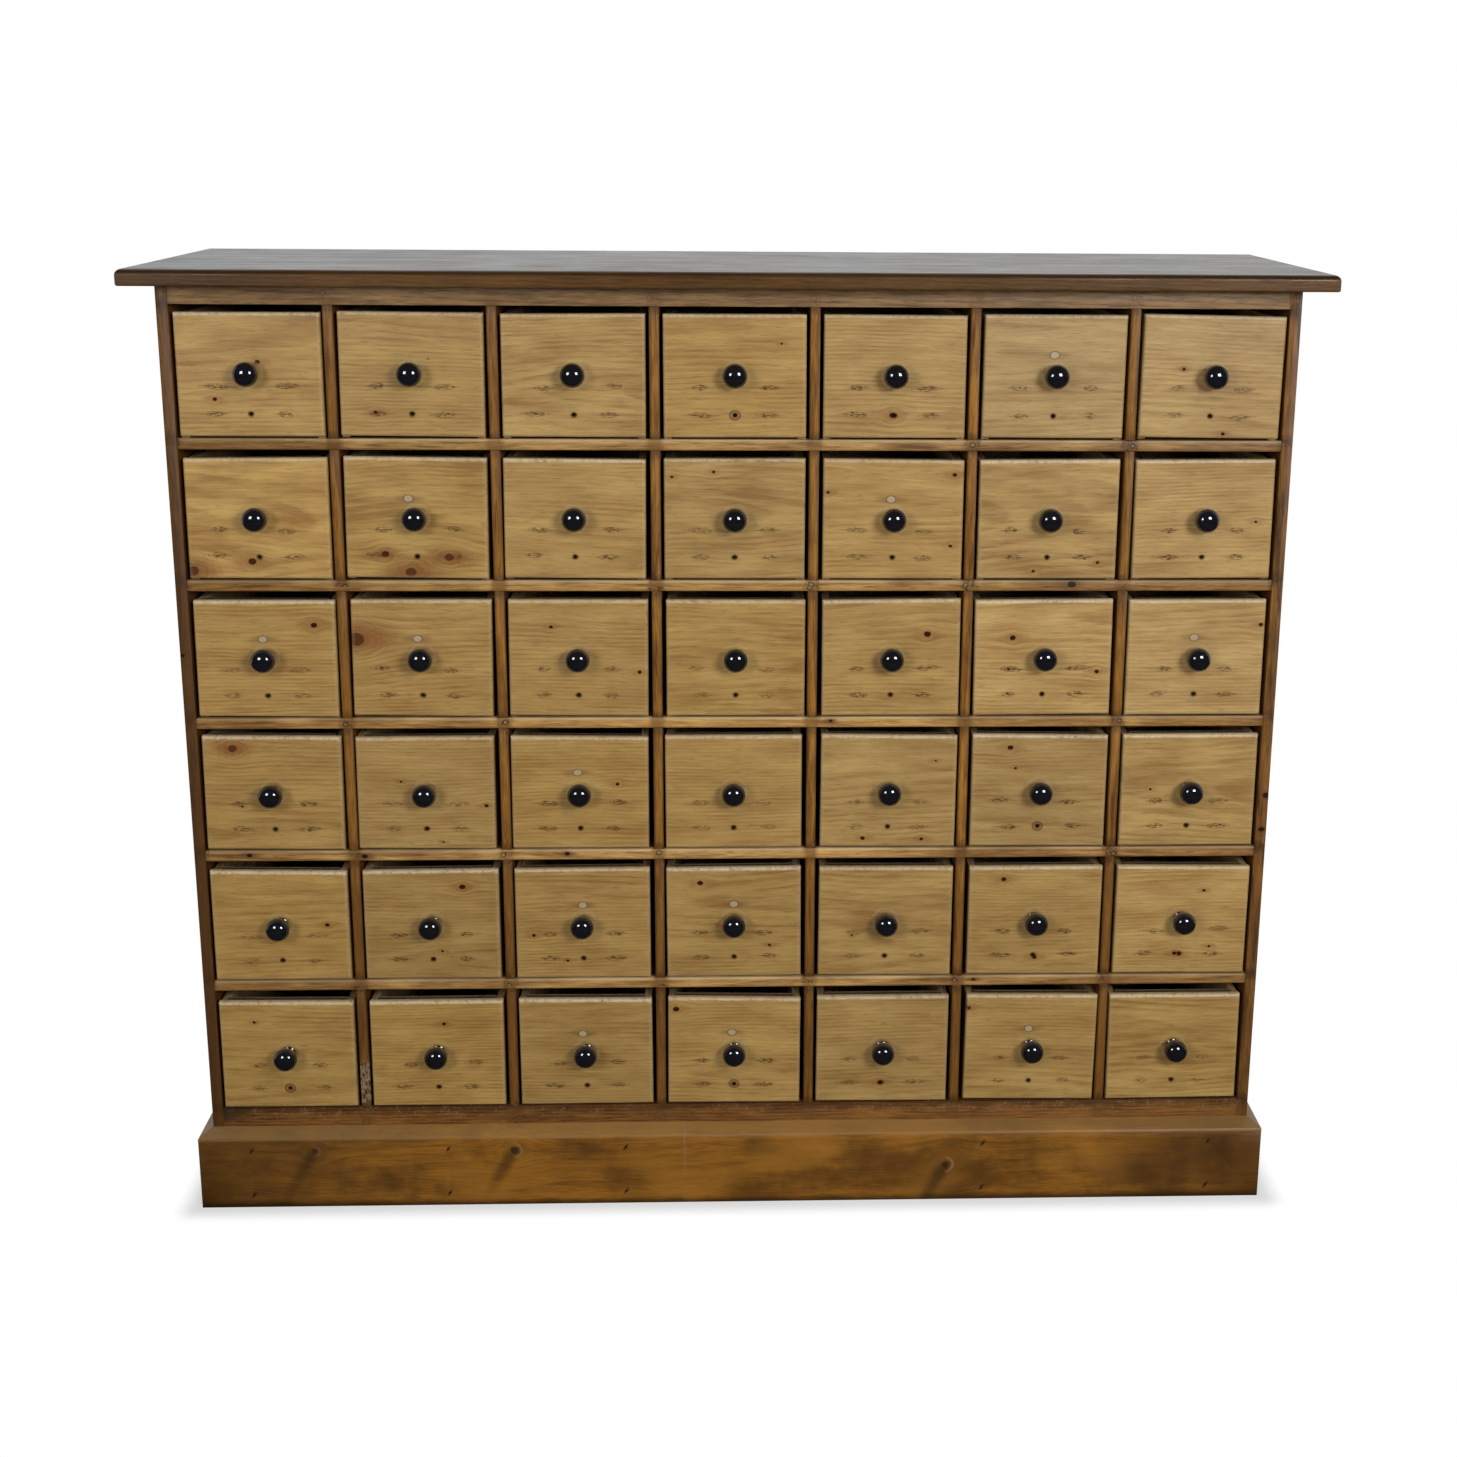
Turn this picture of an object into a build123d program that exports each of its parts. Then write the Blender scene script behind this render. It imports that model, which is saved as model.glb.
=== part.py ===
"""Seed storage cabinet: a pine carcass with seven columns and six rows of drawers.

Millimetres, +Z up. The origin is on the floor, under the middle of the cabinet.
+X is to the right as the viewer faces the drawers, and -Y is the front.

The carcass is an egg crate. Full-width shelves are housed in the two sides, and short
dividers stand in housings cut in the shelves. All those housings stop short of the front
edge, so that the face of the cabinet shows plain butting edges. The drawers are boxes
with rebated fronts and grooved sides, and they slide on the shelves.
"""

import os

from build123d import *

os.makedirs("parts", exist_ok=True)

# Carcass grid
columns = 7
opening_width = 177.0
row_openings = (157.0, 159.0, 160.0, 159.0, 161.0, 163.5)  # top row first
divider_thickness = 12.3
shelf_thickness = 13.2
side_thickness = 13.6
bottom_rail_top = 131.5
carcass_top_thickness = 23.0
carcass_depth = 346.0

# Joints of the carcass
side_housing = 5.0
divider_housing = 3.0
housing_stop = 12.0  # how far behind the face the housings begin
back_rebate_width = 6.0
back_thickness = 10.0
back_board_count = 12
back_board_foot = 40.0
tongue_length = 5.0
tongue_thickness = 3.0
tongue_play = 0.5
back_bevel = 1.5

# Bottom rail and plinth
bottom_rail_depth = 22.0
bottom_rail_foot = 6.0
rail_groove = 6.0
plinth_projection = 16.0
plinth_front_height = 97.5
plinth_back_height = 106.5
corner_block_leg = 45.0
corner_block_height = 70.0
nail_width = 2.6
nail_height = 4.0
nail_length = 34.0
nail_columns = (-0.462, -0.275, -0.105, 0.24, 0.46)  # shares of the carcass width
nail_heights = (17.0, 80.0)

# Top board
top_overhang = 34.0
top_thickness = 19.5
top_upper_round = 7.0
top_lower_round = 2.5

# Drawers
front_width = 168.0
front_height = 147.0
front_thickness = 17.0
front_proud = 3.0
front_lift = 2.5  # clearance under the front, so that only the sides run on the shelf
front_arris = 3.0
drawer_length = 318.0
drawer_board = 9.0
drawer_side_drop = 4.0  # sides stop this far below the top of the front
drawer_back_drop = 14.0
panel_thickness = 4.0
panel_height = 9.0  # underside of the bottom panel above the shelf
panel_groove = 4.0

# Knob: (radius, distance from the drawer's face) from the base to the crown
knob_sides = 10
knob_rise = 4.5  # above the middle of the front
knob_profile = (
    (9.0, 0.0),
    (6.2, 5.0),
    (11.4, 10.0),
    (13.3, 16.5),
    (10.4, 24.5),
    (4.2, 29.0),
)

# Derived sizes
rows = len(row_openings)
carcass_width = columns * opening_width + (columns - 1) * divider_thickness + 2 * side_thickness
inner_width = carcass_width - 2 * side_thickness
grid_top = bottom_rail_top + sum(row_openings) + (rows - 1) * shelf_thickness
carcass_height = grid_top + carcass_top_thickness
total_depth = carcass_depth + top_overhang
back_y = total_depth / 2
face_y = back_y - carcass_depth
inner_back_y = back_y - back_thickness
column_pitch = opening_width + divider_thickness
divider_x = [(i - (columns - 2) / 2) * column_pitch for i in range(columns - 1)]
column_x = [(i - (columns - 1) / 2) * column_pitch for i in range(columns)]
row_floor = [
    grid_top - sum(row_openings[: row + 1]) - row * shelf_thickness for row in range(rows)
]


def block(x0, x1, y0, y1, z0, z1):
    """A squared board between two corners."""
    return Pos((x0 + x1) / 2, (y0 + y1) / 2, (z0 + z1) / 2) * Box(x1 - x0, y1 - y0, z1 - z0)


def board_along_x(outline, x0, x1):
    """A board whose cross-section in Y and Z runs from x0 to x1."""
    section = Plane.YZ * make_face(Polyline(*outline, close=True))
    return Pos(x0, 0, 0) * extrude(section, x1 - x0, dir=(1, 0, 0))


def board_along_z(outline, z0, z1):
    """A board whose plan in X and Y rises from z0 to z1."""
    return Pos(0, 0, z0) * extrude(make_face(Polyline(*outline, close=True)), z1 - z0, dir=(0, 0, 1))


def mirrored(shape):
    """The right-hand piece made from the left-hand one."""
    return mirror(shape, about=Plane.YZ)


def write(name, pieces):
    """One STEP per node; a node of several pieces keeps them as separate solids."""
    shape = pieces[0] if len(pieces) == 1 else Compound(children=pieces)
    shape.label = name
    export_step(shape, f"parts/{name}.step")


def cut_divider_housings(board, z0, z1):
    """The stopped housings that the dividers stand in."""
    half = divider_thickness / 2
    for x in divider_x:
        board -= block(x - half, x + half, face_y + housing_stop, inner_back_y, z0, z1)
    return board


def shelf_board(z0, z1):
    """A shelf, carcass top or other cross board, with a stopped tongue at each end."""
    reach = inner_width / 2
    tongue = reach + side_housing
    outline = (
        (-reach, face_y),
        (reach, face_y),
        (reach, face_y + housing_stop),
        (tongue, face_y + housing_stop),
        (tongue, inner_back_y),
        (-tongue, inner_back_y),
        (-tongue, face_y + housing_stop),
        (-reach, face_y + housing_stop),
    )
    return board_along_z(outline, z0, z1)


# Sides
def carcass_side():
    """The left side: stopped housings for the cross boards and a rebate for the back."""
    outer = -carcass_width / 2
    inner = outer + side_thickness
    side = block(outer, inner, face_y, back_y, 0, carcass_height)
    side -= block(inner - back_rebate_width, inner, inner_back_y, back_y, 0, carcass_height)
    levels = [(floor - shelf_thickness, floor) for floor in row_floor[:-1]]
    levels += [(bottom_rail_top - shelf_thickness, bottom_rail_top), (grid_top, carcass_height)]
    for z0, z1 in levels:
        front = face_y + housing_stop
        if z1 == bottom_rail_top:
            front = face_y + bottom_rail_depth
        side -= block(inner - side_housing, inner, front, inner_back_y, z0, z1)
    return side


# Cross boards
def shelf(row):
    """The shelf under a row, housed for dividers above and below."""
    z1 = row_floor[row]
    z0 = z1 - shelf_thickness
    board = cut_divider_housings(shelf_board(z0, z1), z1 - divider_housing, z1)
    return cut_divider_housings(board, z0, z0 + divider_housing)


def carcass_top():
    """The board that closes the carcass and carries the top board."""
    board = shelf_board(grid_top, carcass_height)
    return cut_divider_housings(board, grid_top, grid_top + divider_housing)


def rail_tongue():
    """The front tongue of the bottom board, which fills the groove in the bottom rail."""
    reach = inner_width / 2
    back = face_y + bottom_rail_depth
    low = bottom_rail_top - (shelf_thickness + rail_groove) / 2
    return block(-reach, reach, back - rail_groove, back, low, low + rail_groove)


def bottom_board():
    """The lowest board, tongued into the bottom rail and housed in the sides."""
    z1 = bottom_rail_top
    z0 = z1 - shelf_thickness
    start = face_y + bottom_rail_depth
    reach = inner_width / 2 + side_housing
    board = block(-reach, reach, start, inner_back_y, z0, z1) + rail_tongue()
    return cut_divider_housings(board, z1 - divider_housing, z1)


def bottom_rail():
    """The rail above the plinth, grooved for the bottom board."""
    reach = inner_width / 2
    end = face_y + bottom_rail_depth
    rail = block(-reach, reach, face_y, end, bottom_rail_foot, bottom_rail_top) - rail_tongue()
    return cut_divider_housings(rail, bottom_rail_top - divider_housing, bottom_rail_top)


def divider(row, x):
    """A divider, with tongues above and below that stop behind the face."""
    z0 = row_floor[row]
    z1 = z0 + row_openings[row]
    stop = face_y + housing_stop
    outline = (
        (face_y, z0),
        (stop, z0),
        (stop, z0 - divider_housing),
        (inner_back_y, z0 - divider_housing),
        (inner_back_y, z1 + divider_housing),
        (stop, z1 + divider_housing),
        (stop, z1),
        (face_y, z1),
    )
    half = divider_thickness / 2
    return board_along_x(outline, x - half, x + half)


# Back
def back_board(index):
    """One upright back board: tongue on the right edge, groove on the left, bevelled seams."""
    span = inner_width + 2 * back_rebate_width
    width = span / back_board_count
    x0 = -span / 2 + index * width
    x1 = x0 + width
    y0 = inner_back_y
    y1 = back_y
    middle = (y0 + y1) / 2
    low = middle - tongue_thickness / 2
    high = middle + tongue_thickness / 2
    left = [(x0, y1), (x0, y0)]
    if index > 0:
        floor = x0 + tongue_length + tongue_play
        left = [(x0 + back_bevel, y1), (x0, y1 - back_bevel)]
        left += [(x0, high), (floor, high), (floor, low), (x0, low), (x0, y0)]
    right = [(x1, y0), (x1, y1)]
    if index < back_board_count - 1:
        tip = x1 + tongue_length
        right = [(x1, y0), (x1, low), (tip, low), (tip, high), (x1, high)]
        right += [(x1, y1 - back_bevel), (x1 - back_bevel, y1)]
    return board_along_z(tuple(right + left), back_board_foot, carcass_height)


# Top board
def top_board():
    """The top board, with its upper and lower arrises rounded at the front and the ends."""
    half = carcass_width / 2 + top_overhang
    z1 = carcass_height + top_thickness
    board = block(-half, half, face_y - top_overhang, back_y, carcass_height, z1)

    def front_and_ends(edges):
        return [edge for edge in edges if edge.center().Y < back_y - 1]

    board = fillet(front_and_ends(board.edges().group_by(Axis.Z)[-1]), top_upper_round)
    return fillet(front_and_ends(board.edges().group_by(Axis.Z)[0]), top_lower_round)


# Plinth
def plinth_section(at, outwards):
    """Cross-section of a plinth board, upright against the carcass at one coordinate."""
    outer = at + outwards * plinth_projection
    return ((at, 0), (outer, 0), (outer, plinth_front_height), (at, plinth_back_height))


def mitre_wedge(sign):
    """A tall prism over the part of the plan that belongs to a side return."""
    corner_x = sign * carcass_width / 2
    far = 4 * plinth_projection
    outline = (
        (corner_x, face_y),
        (corner_x + sign * far, face_y - far),
        (corner_x + sign * far, back_y),
        (corner_x, back_y),
    )
    return board_along_z(outline, 0, plinth_back_height)


def plinth_front():
    """The front board of the plinth, mitred at both ends."""
    half = carcass_width / 2 + plinth_projection
    board = board_along_x(plinth_section(face_y, -1), -half, half)
    return board - mitre_wedge(-1) - mitre_wedge(1)


def plinth_side():
    """The left return of the plinth, mitred at the front."""
    section = Plane.XZ * make_face(Polyline(*plinth_section(-carcass_width / 2, -1), close=True))
    length = back_y - face_y + plinth_projection
    board = Pos(0, face_y - plinth_projection, 0) * extrude(section, length, dir=(0, 1, 0))
    return board & mitre_wedge(-1)


def corner_blocks():
    """Triangular blocks glued in the corners under the bottom board."""
    top = bottom_rail_top - shelf_thickness
    inner = inner_width / 2
    blocks = []
    for sign in (-1, 1):
        x = sign * inner
        front = face_y + bottom_rail_depth
        leg = corner_block_leg
        at_front = ((x, front), (x - sign * leg, front), (x, front + leg))
        at_back = ((x, inner_back_y), (x - sign * leg, inner_back_y), (x, inner_back_y - leg))
        for outline in (at_front, at_back):
            blocks.append(board_along_z(outline, top - corner_block_height, top))
    return blocks


def plinth_nails():
    """Cut nails with oblong shanks, driven through the plinth into the carcass."""
    y0 = face_y - plinth_projection
    half_w = nail_width / 2
    half_h = nail_height / 2
    nails = []
    for share in nail_columns:
        x = share * carcass_width
        for z in nail_heights:
            shank = block(x - half_w, x + half_w, y0, y0 + nail_length, z - half_h, z + half_h)
            nails.append(shank)
    return nails


# Drawers, modelled about the middle of the front's foot on the shelf
def drawer_front():
    """A front with softened arrises, rebates for the sides and a groove for the panel."""
    half = front_width / 2
    y1 = front_thickness
    z0 = front_lift
    z1 = front_lift + front_height
    front = block(-half, half, 0, y1, z0, z1)
    front = chamfer(front.faces().sort_by(Axis.Y)[0].edges(), front_arris)
    for sign in (-1, 1):
        x = sorted((sign * half, sign * (half - drawer_board)))
        front -= block(x[0], x[1], y1 - drawer_board, y1, z0, z1)
    groove_half = half - drawer_board
    groove_top = panel_height + panel_thickness
    return front - block(-groove_half, groove_half, y1 - panel_groove, y1, panel_height, groove_top)


def drawer_side():
    """The left side, grooved for the bottom panel along its whole length."""
    x0 = -front_width / 2
    x1 = x0 + drawer_board
    z1 = front_lift + front_height - drawer_side_drop
    groove = x1 - panel_groove
    outline = (
        (x0, 0),
        (x1, 0),
        (x1, panel_height),
        (groove, panel_height),
        (groove, panel_height + panel_thickness),
        (x1, panel_height + panel_thickness),
        (x1, z1),
        (x0, z1),
    )
    section = Plane.XZ * make_face(Polyline(*outline, close=True))
    start = front_thickness - drawer_board
    return Pos(0, start, 0) * extrude(section, drawer_length - start, dir=(0, 1, 0))


def drawer_back():
    """The back, which stands on the bottom panel between the sides."""
    half = front_width / 2 - drawer_board
    z0 = panel_height + panel_thickness
    z1 = front_lift + front_height - drawer_back_drop
    return block(-half, half, drawer_length - drawer_board, drawer_length, z0, z1)


def drawer_panel():
    """The bottom panel, in the grooves of front and sides and nailed up to the back."""
    half = front_width / 2 - drawer_board + panel_groove
    start = front_thickness - panel_groove
    return block(-half, half, start, drawer_length, panel_height, panel_height + panel_thickness)


def knob_ring(radius, y):
    """A many-sided ring about the knob's axis, at a distance behind the drawer's face."""
    centre = (0, y, front_lift + front_height / 2 + knob_rise)
    plane = Plane(origin=centre, x_dir=(1, 0, 0), z_dir=(0, -1, 0))
    return plane * RegularPolygon(radius, knob_sides)


def knob():
    """A turned ball knob with a small base and a neck, seated on the face of the front."""
    return loft([knob_ring(radius, -reach) for radius, reach in knob_profile], ruled=True)


def drawer_pieces():
    """The separate pieces of one drawer."""
    side = drawer_side()
    return [drawer_front(), side, mirrored(side), drawer_back(), drawer_panel(), knob()]


# The nodes of the carcass
dividers = [divider(row, x) for row in range(rows) for x in divider_x]
nails = plinth_nails()
plinth_board = plinth_front()
rail = bottom_rail()
for nail in nails:
    plinth_board -= nail
    rail -= nail
left_side = carcass_side()
left_return = plinth_side()

write("top_board", [top_board()])
write("carcass_top", [carcass_top()])
write("side_left", [left_side])
write("side_right", [mirrored(left_side)])
write("bottom_board", [bottom_board()])
write("bottom_rail", [rail])
for row in range(rows - 1):
    write(f"shelf_{row + 1}", [shelf(row)])
write("dividers", dividers)
write("back_boards", [back_board(index) for index in range(back_board_count)])
write("plinth_front", [plinth_board])
write("plinth_left", [left_return])
write("plinth_right", [mirrored(left_return)])
write("corner_blocks", corner_blocks())
write("plinth_nails", nails)

# The nodes of the drawers
pieces = drawer_pieces()
for row in range(rows):
    for column in range(columns):
        place = Pos(column_x[column], face_y - front_proud, row_floor[row])
        write(f"drawer_r{row + 1}_c{column + 1}", [place * piece for piece in pieces])
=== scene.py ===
"""Looks of a floor-standing seed storage cabinet with forty-two small drawers.

Metres, +Z up, the drawers face -Y. Every piece lies at the origin with its place in its
mesh. The pine finishes read attributes of the boards' points: grain is a point in the
board's own timber in millimetres (along the fibres, across them, and in the log's depth,
measured from the pith), board is (tone, warmth, figure) for the whole board, and wear says
how near an arris a point is. Copied boards also have offset, a point's place from the
board's middle, and fronts have place, knots, marks and fixings, all in millimetres.
"""

import functools
import math

import bmesh
import bpy
import numpy as np
from mathutils import Matrix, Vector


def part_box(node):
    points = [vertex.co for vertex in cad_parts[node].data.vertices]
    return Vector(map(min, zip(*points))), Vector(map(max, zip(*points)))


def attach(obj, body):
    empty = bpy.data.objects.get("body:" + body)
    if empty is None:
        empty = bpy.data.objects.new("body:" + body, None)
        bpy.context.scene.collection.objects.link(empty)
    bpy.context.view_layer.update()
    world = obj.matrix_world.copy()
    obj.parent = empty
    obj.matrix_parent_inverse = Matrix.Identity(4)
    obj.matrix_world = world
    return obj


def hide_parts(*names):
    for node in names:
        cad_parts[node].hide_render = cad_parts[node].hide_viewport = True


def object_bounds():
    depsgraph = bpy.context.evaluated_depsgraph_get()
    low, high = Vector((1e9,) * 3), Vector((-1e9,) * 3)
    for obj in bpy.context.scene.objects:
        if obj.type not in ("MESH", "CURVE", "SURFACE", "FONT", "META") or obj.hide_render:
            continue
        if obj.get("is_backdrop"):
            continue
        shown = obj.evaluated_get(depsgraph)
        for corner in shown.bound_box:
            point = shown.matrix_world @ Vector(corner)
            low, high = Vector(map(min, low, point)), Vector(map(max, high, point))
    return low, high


bl_info = {
    "name": "Seed storage cabinet",
    "version": (1, 0, 0),
    "blender": (4, 5, 0),
    "location": "3D View > Sidebar > Cabinet",
    "description": "Builds the looks of a pine seed cabinet with forty-two drawers",
    "category": "Add Mesh",
}

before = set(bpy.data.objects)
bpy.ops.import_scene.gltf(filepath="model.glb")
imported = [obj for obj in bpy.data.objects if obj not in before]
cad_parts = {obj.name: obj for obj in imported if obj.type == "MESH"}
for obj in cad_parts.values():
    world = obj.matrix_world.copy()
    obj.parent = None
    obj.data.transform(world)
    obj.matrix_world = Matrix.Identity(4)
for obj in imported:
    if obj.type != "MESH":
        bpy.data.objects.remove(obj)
CAD_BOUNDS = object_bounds()

MM = 0.001
ROWS = 6
COLUMNS = 7
CARCASS = "carcass"
SHELVES = [f"shelf_{n}" for n in range(1, ROWS)]

# Planes of the carcass: its face, the grid's top and foot, and the shelves' two faces.
FACE_Y, GRID_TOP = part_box("carcass_top")[0][1:]
GRID_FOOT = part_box("bottom_rail")[1][2]
SHELF_TOPS = [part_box(shelf)[1][2] for shelf in SHELVES]
SHELF_UNDERS = [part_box(shelf)[0][2] for shelf in SHELVES]
PITCH = (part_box("drawer_r1_c7")[0][0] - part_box("drawer_r1_c1")[0][0]) / (COLUMNS - 1)

# A drawer front in millimetres: half the solid's width, half the drawn width and height,
# the gap under it, how far it stands proud of the carcass, how far the knob is above its
# middle, and how far the old screw hole is below it.
SOLID_HALF = 84.0
FRONT_HALF = (84.6, 73.5)
FOOT_GAP = 2.5
PROUD = 3
KNOB_RISE = 2.0
HOLE_DROP = 46.5

# In millimetres too: a front's thickness, the thickness of the lip that its rebates leave,
# how wide these are, the radius of its corners, and how deep the old screw hole is.
THICK = 17.0
LIP = 8.0
REBATE = 9.0
CORNER = 1.2
HOLE_DEPTH = 9.0

# Rounding of the top board's arrises above and below and of its corners in plan, easing of
# the plinth, of raw boards and of the drawer boxes, and half the width and height of a nail.
TOP_ROUND = 7 * MM
UNDER_ROUND = 2.5 * MM
TOP_CORNER = 0.8 * MM
PLINTH_EASE = 1.2 * MM
RAW_EASE = 0.6 * MM
BOX_EASE = 0.5 * MM
NAIL_HALF = (1.3 * MM, 2 * MM)


# ---------------------------------------------------------------- sizes and colours


def colour(label, text, value):
    """A colour that a user may change."""
    return bpy.props.FloatVectorProperty(
        name=label, description=text, default=value, subtype="COLOR", size=3, min=0, max=1
    )


def length(label, text, value):
    """A length that a user may change, in metres."""
    return bpy.props.FloatProperty(
        name=label, description=text, default=value, min=0, unit="LENGTH", subtype="DISTANCE"
    )


class CabinetSizes(bpy.types.PropertyGroup):
    """Sizes of details, in metres."""

    front_round: length("Front arris", "Rounding of the drawer fronts' arrises", 3.8 * MM)
    board_ease: length("Eased arris", "Easing of the carcass boards' arrises", 0.9 * MM)
    knob_radius: length("Knob radius", "Largest radius of a knob", 14.8 * MM)
    knob_reach: length("Knob reach", "How far a knob stands off its front", 29.0 * MM)
    hole_radius: length("Old screw hole", "Radius of the old screw hole in a front", 1.5 * MM)
    hole_drop: length("Hole's drop", "How far the old hole lies below the middle", HOLE_DROP * MM)
    ring_width: length("Growth rings", "Usual width of a growth ring", 4.6 * MM)
    nail_set: length("Nail set", "How deep the plinth nails are punched in", 0.6 * MM)


# Kinds of board, each with its early and its late wood's colour.
WOODS = {
    "front": ("Waxed drawer fronts", (0.405, 0.262, 0.082), (0.285, 0.148, 0.034)),
    "rail": ("Wiped top rail", (0.275, 0.162, 0.066), (0.13, 0.07, 0.028)),
    "shelf": ("Wiped shelf edges", (0.39, 0.228, 0.074), (0.18, 0.085, 0.022)),
    "upright": ("Stained dividers", (0.32, 0.146, 0.022), (0.115, 0.044, 0.008)),
    "side": ("Stained sides", (0.225, 0.098, 0.018), (0.07, 0.028, 0.007)),
    "foot": ("Stained rail over the plinth", (0.24, 0.102, 0.020), (0.08, 0.028, 0.007)),
    "plinth": ("Stained plinth", (0.34, 0.140, 0.014), (0.085, 0.033, 0.005)),
    "top": ("Dark top board", (0.145, 0.075, 0.024), (0.055, 0.028, 0.010)),
    "raw": ("Raw boxes, backs and blocks", (0.42, 0.28, 0.13), (0.24, 0.13, 0.05)),
}


class CabinetColours(bpy.types.PropertyGroup):
    """Colours of the finishes: these two, and two for each kind of board."""

    knob_black: colour("Knobs", "Black lacquer of the knobs", (0.006, 0.006, 0.008))
    nail_iron: colour("Nails", "Dull iron of the nails", (0.035, 0.024, 0.018))


for wood, (label, light, dark) in WOODS.items():
    CabinetColours.__annotations__.update({
        wood + "_light": colour(label, "Pale early wood between the ring lines", light),
        wood + "_dark": colour(label + ", rings", "Dark late wood of the ring lines", dark),
    })


def sizes():
    """The sizes in use."""
    return bpy.context.scene.cabinet_sizes


def colours():
    """The colours in use."""
    return bpy.context.scene.cabinet_colours


# ---------------------------------------------------------------- surfaces


class Surface:
    """Points, their normals or None for flat faces, lists of faces, and attributes by name."""

    def __init__(self, points, normals, faces, marks=None):
        self.points = np.asarray(points, float).reshape(-1, 3)
        self.normals = None if normals is None else np.asarray(normals, float).reshape(-1, 3)
        self.faces = faces
        self.marks = marks or {}

    def marked(self, **marks):
        """The same surface with more attributes; a single value goes to every point."""
        count = len(self.points)
        for name, value in marks.items():
            value = np.asarray(value, float)
            shape = (count, 3) if value.shape[-1:] == (3,) else (count,)
            self.marks[name] = np.broadcast_to(value, shape)
        return self


def grid_faces(rows, columns):
    """Quads between neighbouring rows of closed curves, the last column joined to the first."""
    i = np.arange(rows - 1)[:, None] * columns
    j = np.arange(columns)[None, :]
    k = (j + 1) % columns
    quads = np.stack([i + j, i + k, i + columns + k, i + columns + j], -1)
    return quads.reshape(-1, 4).tolist()


def closed_faces(rows, columns):
    """The same quads, and one face over the first and the last curve."""
    ends = [list(range(columns))[::-1], [(rows - 1) * columns + n for n in range(columns)]]
    return grid_faces(rows, columns) + ends


def quarter_turns(steps):
    """Angles round a circle, each quarter with both its limits, and the signs of x and y."""
    quarter = np.linspace(0, np.pi / 2, steps + 1)
    angles = np.concatenate([quarter + k * np.pi / 2 for k in range(4)])
    sign_x = np.repeat([1.0, -1.0, -1.0, 1.0], steps + 1)
    sign_y = np.repeat([1.0, 1.0, -1.0, -1.0], steps + 1)
    return angles, sign_x, sign_y


def rounded_board(low, high, radius, steps=2):
    """A squared board with rounded arrises.

    With n the direction at a longitude and latitude, a point is the inner box's corner in
    n's octant plus radius times n. Each octant repeats its limits, which makes the flats.
    The two poles of each flat end are joined by a fan in every quarter.
    """
    low, high = np.asarray(low, float), np.asarray(high, float)
    centre, half = (low + high) / 2, (high - low) / 2
    radius = min(radius, 0.45 * half.min())
    angles, sign_x, sign_y = quarter_turns(steps)
    quarter = np.linspace(0, np.pi / 2, steps + 1)
    tilts = np.concatenate([quarter[1:] - np.pi / 2, quarter[:-1]])
    sign_z = np.repeat([-1.0, 1.0], steps)
    turn, tilt = np.meshgrid(angles, tilts)
    normal = np.stack([np.cos(tilt) * np.cos(turn), np.cos(tilt) * np.sin(turn), np.sin(tilt)], -1)
    sign = np.ones_like(normal)
    sign[..., 0] = sign_x
    sign[..., 1] = sign_y
    sign[..., 2] = sign_z[:, None]
    points = centre + sign * (half - radius) + radius * normal
    wear = np.clip(np.sort(np.abs(normal), -1)[..., 1] * 2.5, 0, 1)
    rows, columns = points.shape[:2]
    corner = np.array([[1, 1], [-1, 1], [-1, -1], [1, -1]], float)
    caps, cap_normals = [], []
    for side in (-1, 1):
        flat = np.column_stack([corner * (half[:2] - radius), np.full(4, side * half[2])])
        caps.append(centre + flat)
        cap_normals.append(np.tile([0.0, 0.0, side], (4, 1)))
    start = rows * columns
    faces = grid_faces(rows, columns)
    j = np.arange(columns)
    k = (j + 1) % columns
    own, after = j // (steps + 1), k // (steps + 1)
    same = own == after
    for cap, ring, way in ((start, 0, -1), (start + 4, (rows - 1) * columns, 1)):
        fan = np.stack([ring + j, ring + k, cap + own], -1)[same]
        strip = np.stack([ring + j, ring + k, cap + after, cap + own], -1)[~same]
        quad = np.arange(4)[None, :] + cap
        for group in (fan, strip, quad):
            faces += group[:, ::way].tolist()
    surface = Surface(
        np.concatenate([points.reshape(-1, 3), *caps]),
        np.concatenate([normal.reshape(-1, 3), *cap_normals]),
        faces,
    )
    return surface.marked(wear=np.concatenate([wear.ravel(), np.zeros(8)]))


def outline_rings(bounds, corner, stations, steps=3):
    """A slab as a stack of rounded rectangles.

    bounds are x0, x1, y0, y1 of the widest outline and corner the radius in plan. A station
    is (inset at each of the four sides, height, slope): the rectangle shrinks by the insets,
    and the normal leans by slope from the plan's outward normal towards the height axis.
    """
    x0, x1, y0, y1 = bounds
    angles, sign_x, sign_y = quarter_turns(steps)
    points, normals = [], []
    for (left, right, front, back), height, slope in stations:
        centre = np.array([(x0 + left + x1 - right) / 2, (y0 + front + y1 - back) / 2])
        half = np.array([(x1 - right - x0 - left) / 2, (y1 - back - y0 - front) / 2])
        plan = np.stack([np.cos(angles), np.sin(angles)], -1)
        place = centre + np.stack([sign_x, sign_y], -1) * (half - corner) + corner * plan
        points.append(np.column_stack([place, np.full(len(angles), height)]))
        lean = np.column_stack([plan * math.cos(slope), np.full(len(angles), math.sin(slope))])
        normals.append(lean)
    count = len(angles)
    faces = closed_faces(len(stations), count)
    return Surface(np.concatenate(points), np.concatenate(normals), faces)


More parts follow.
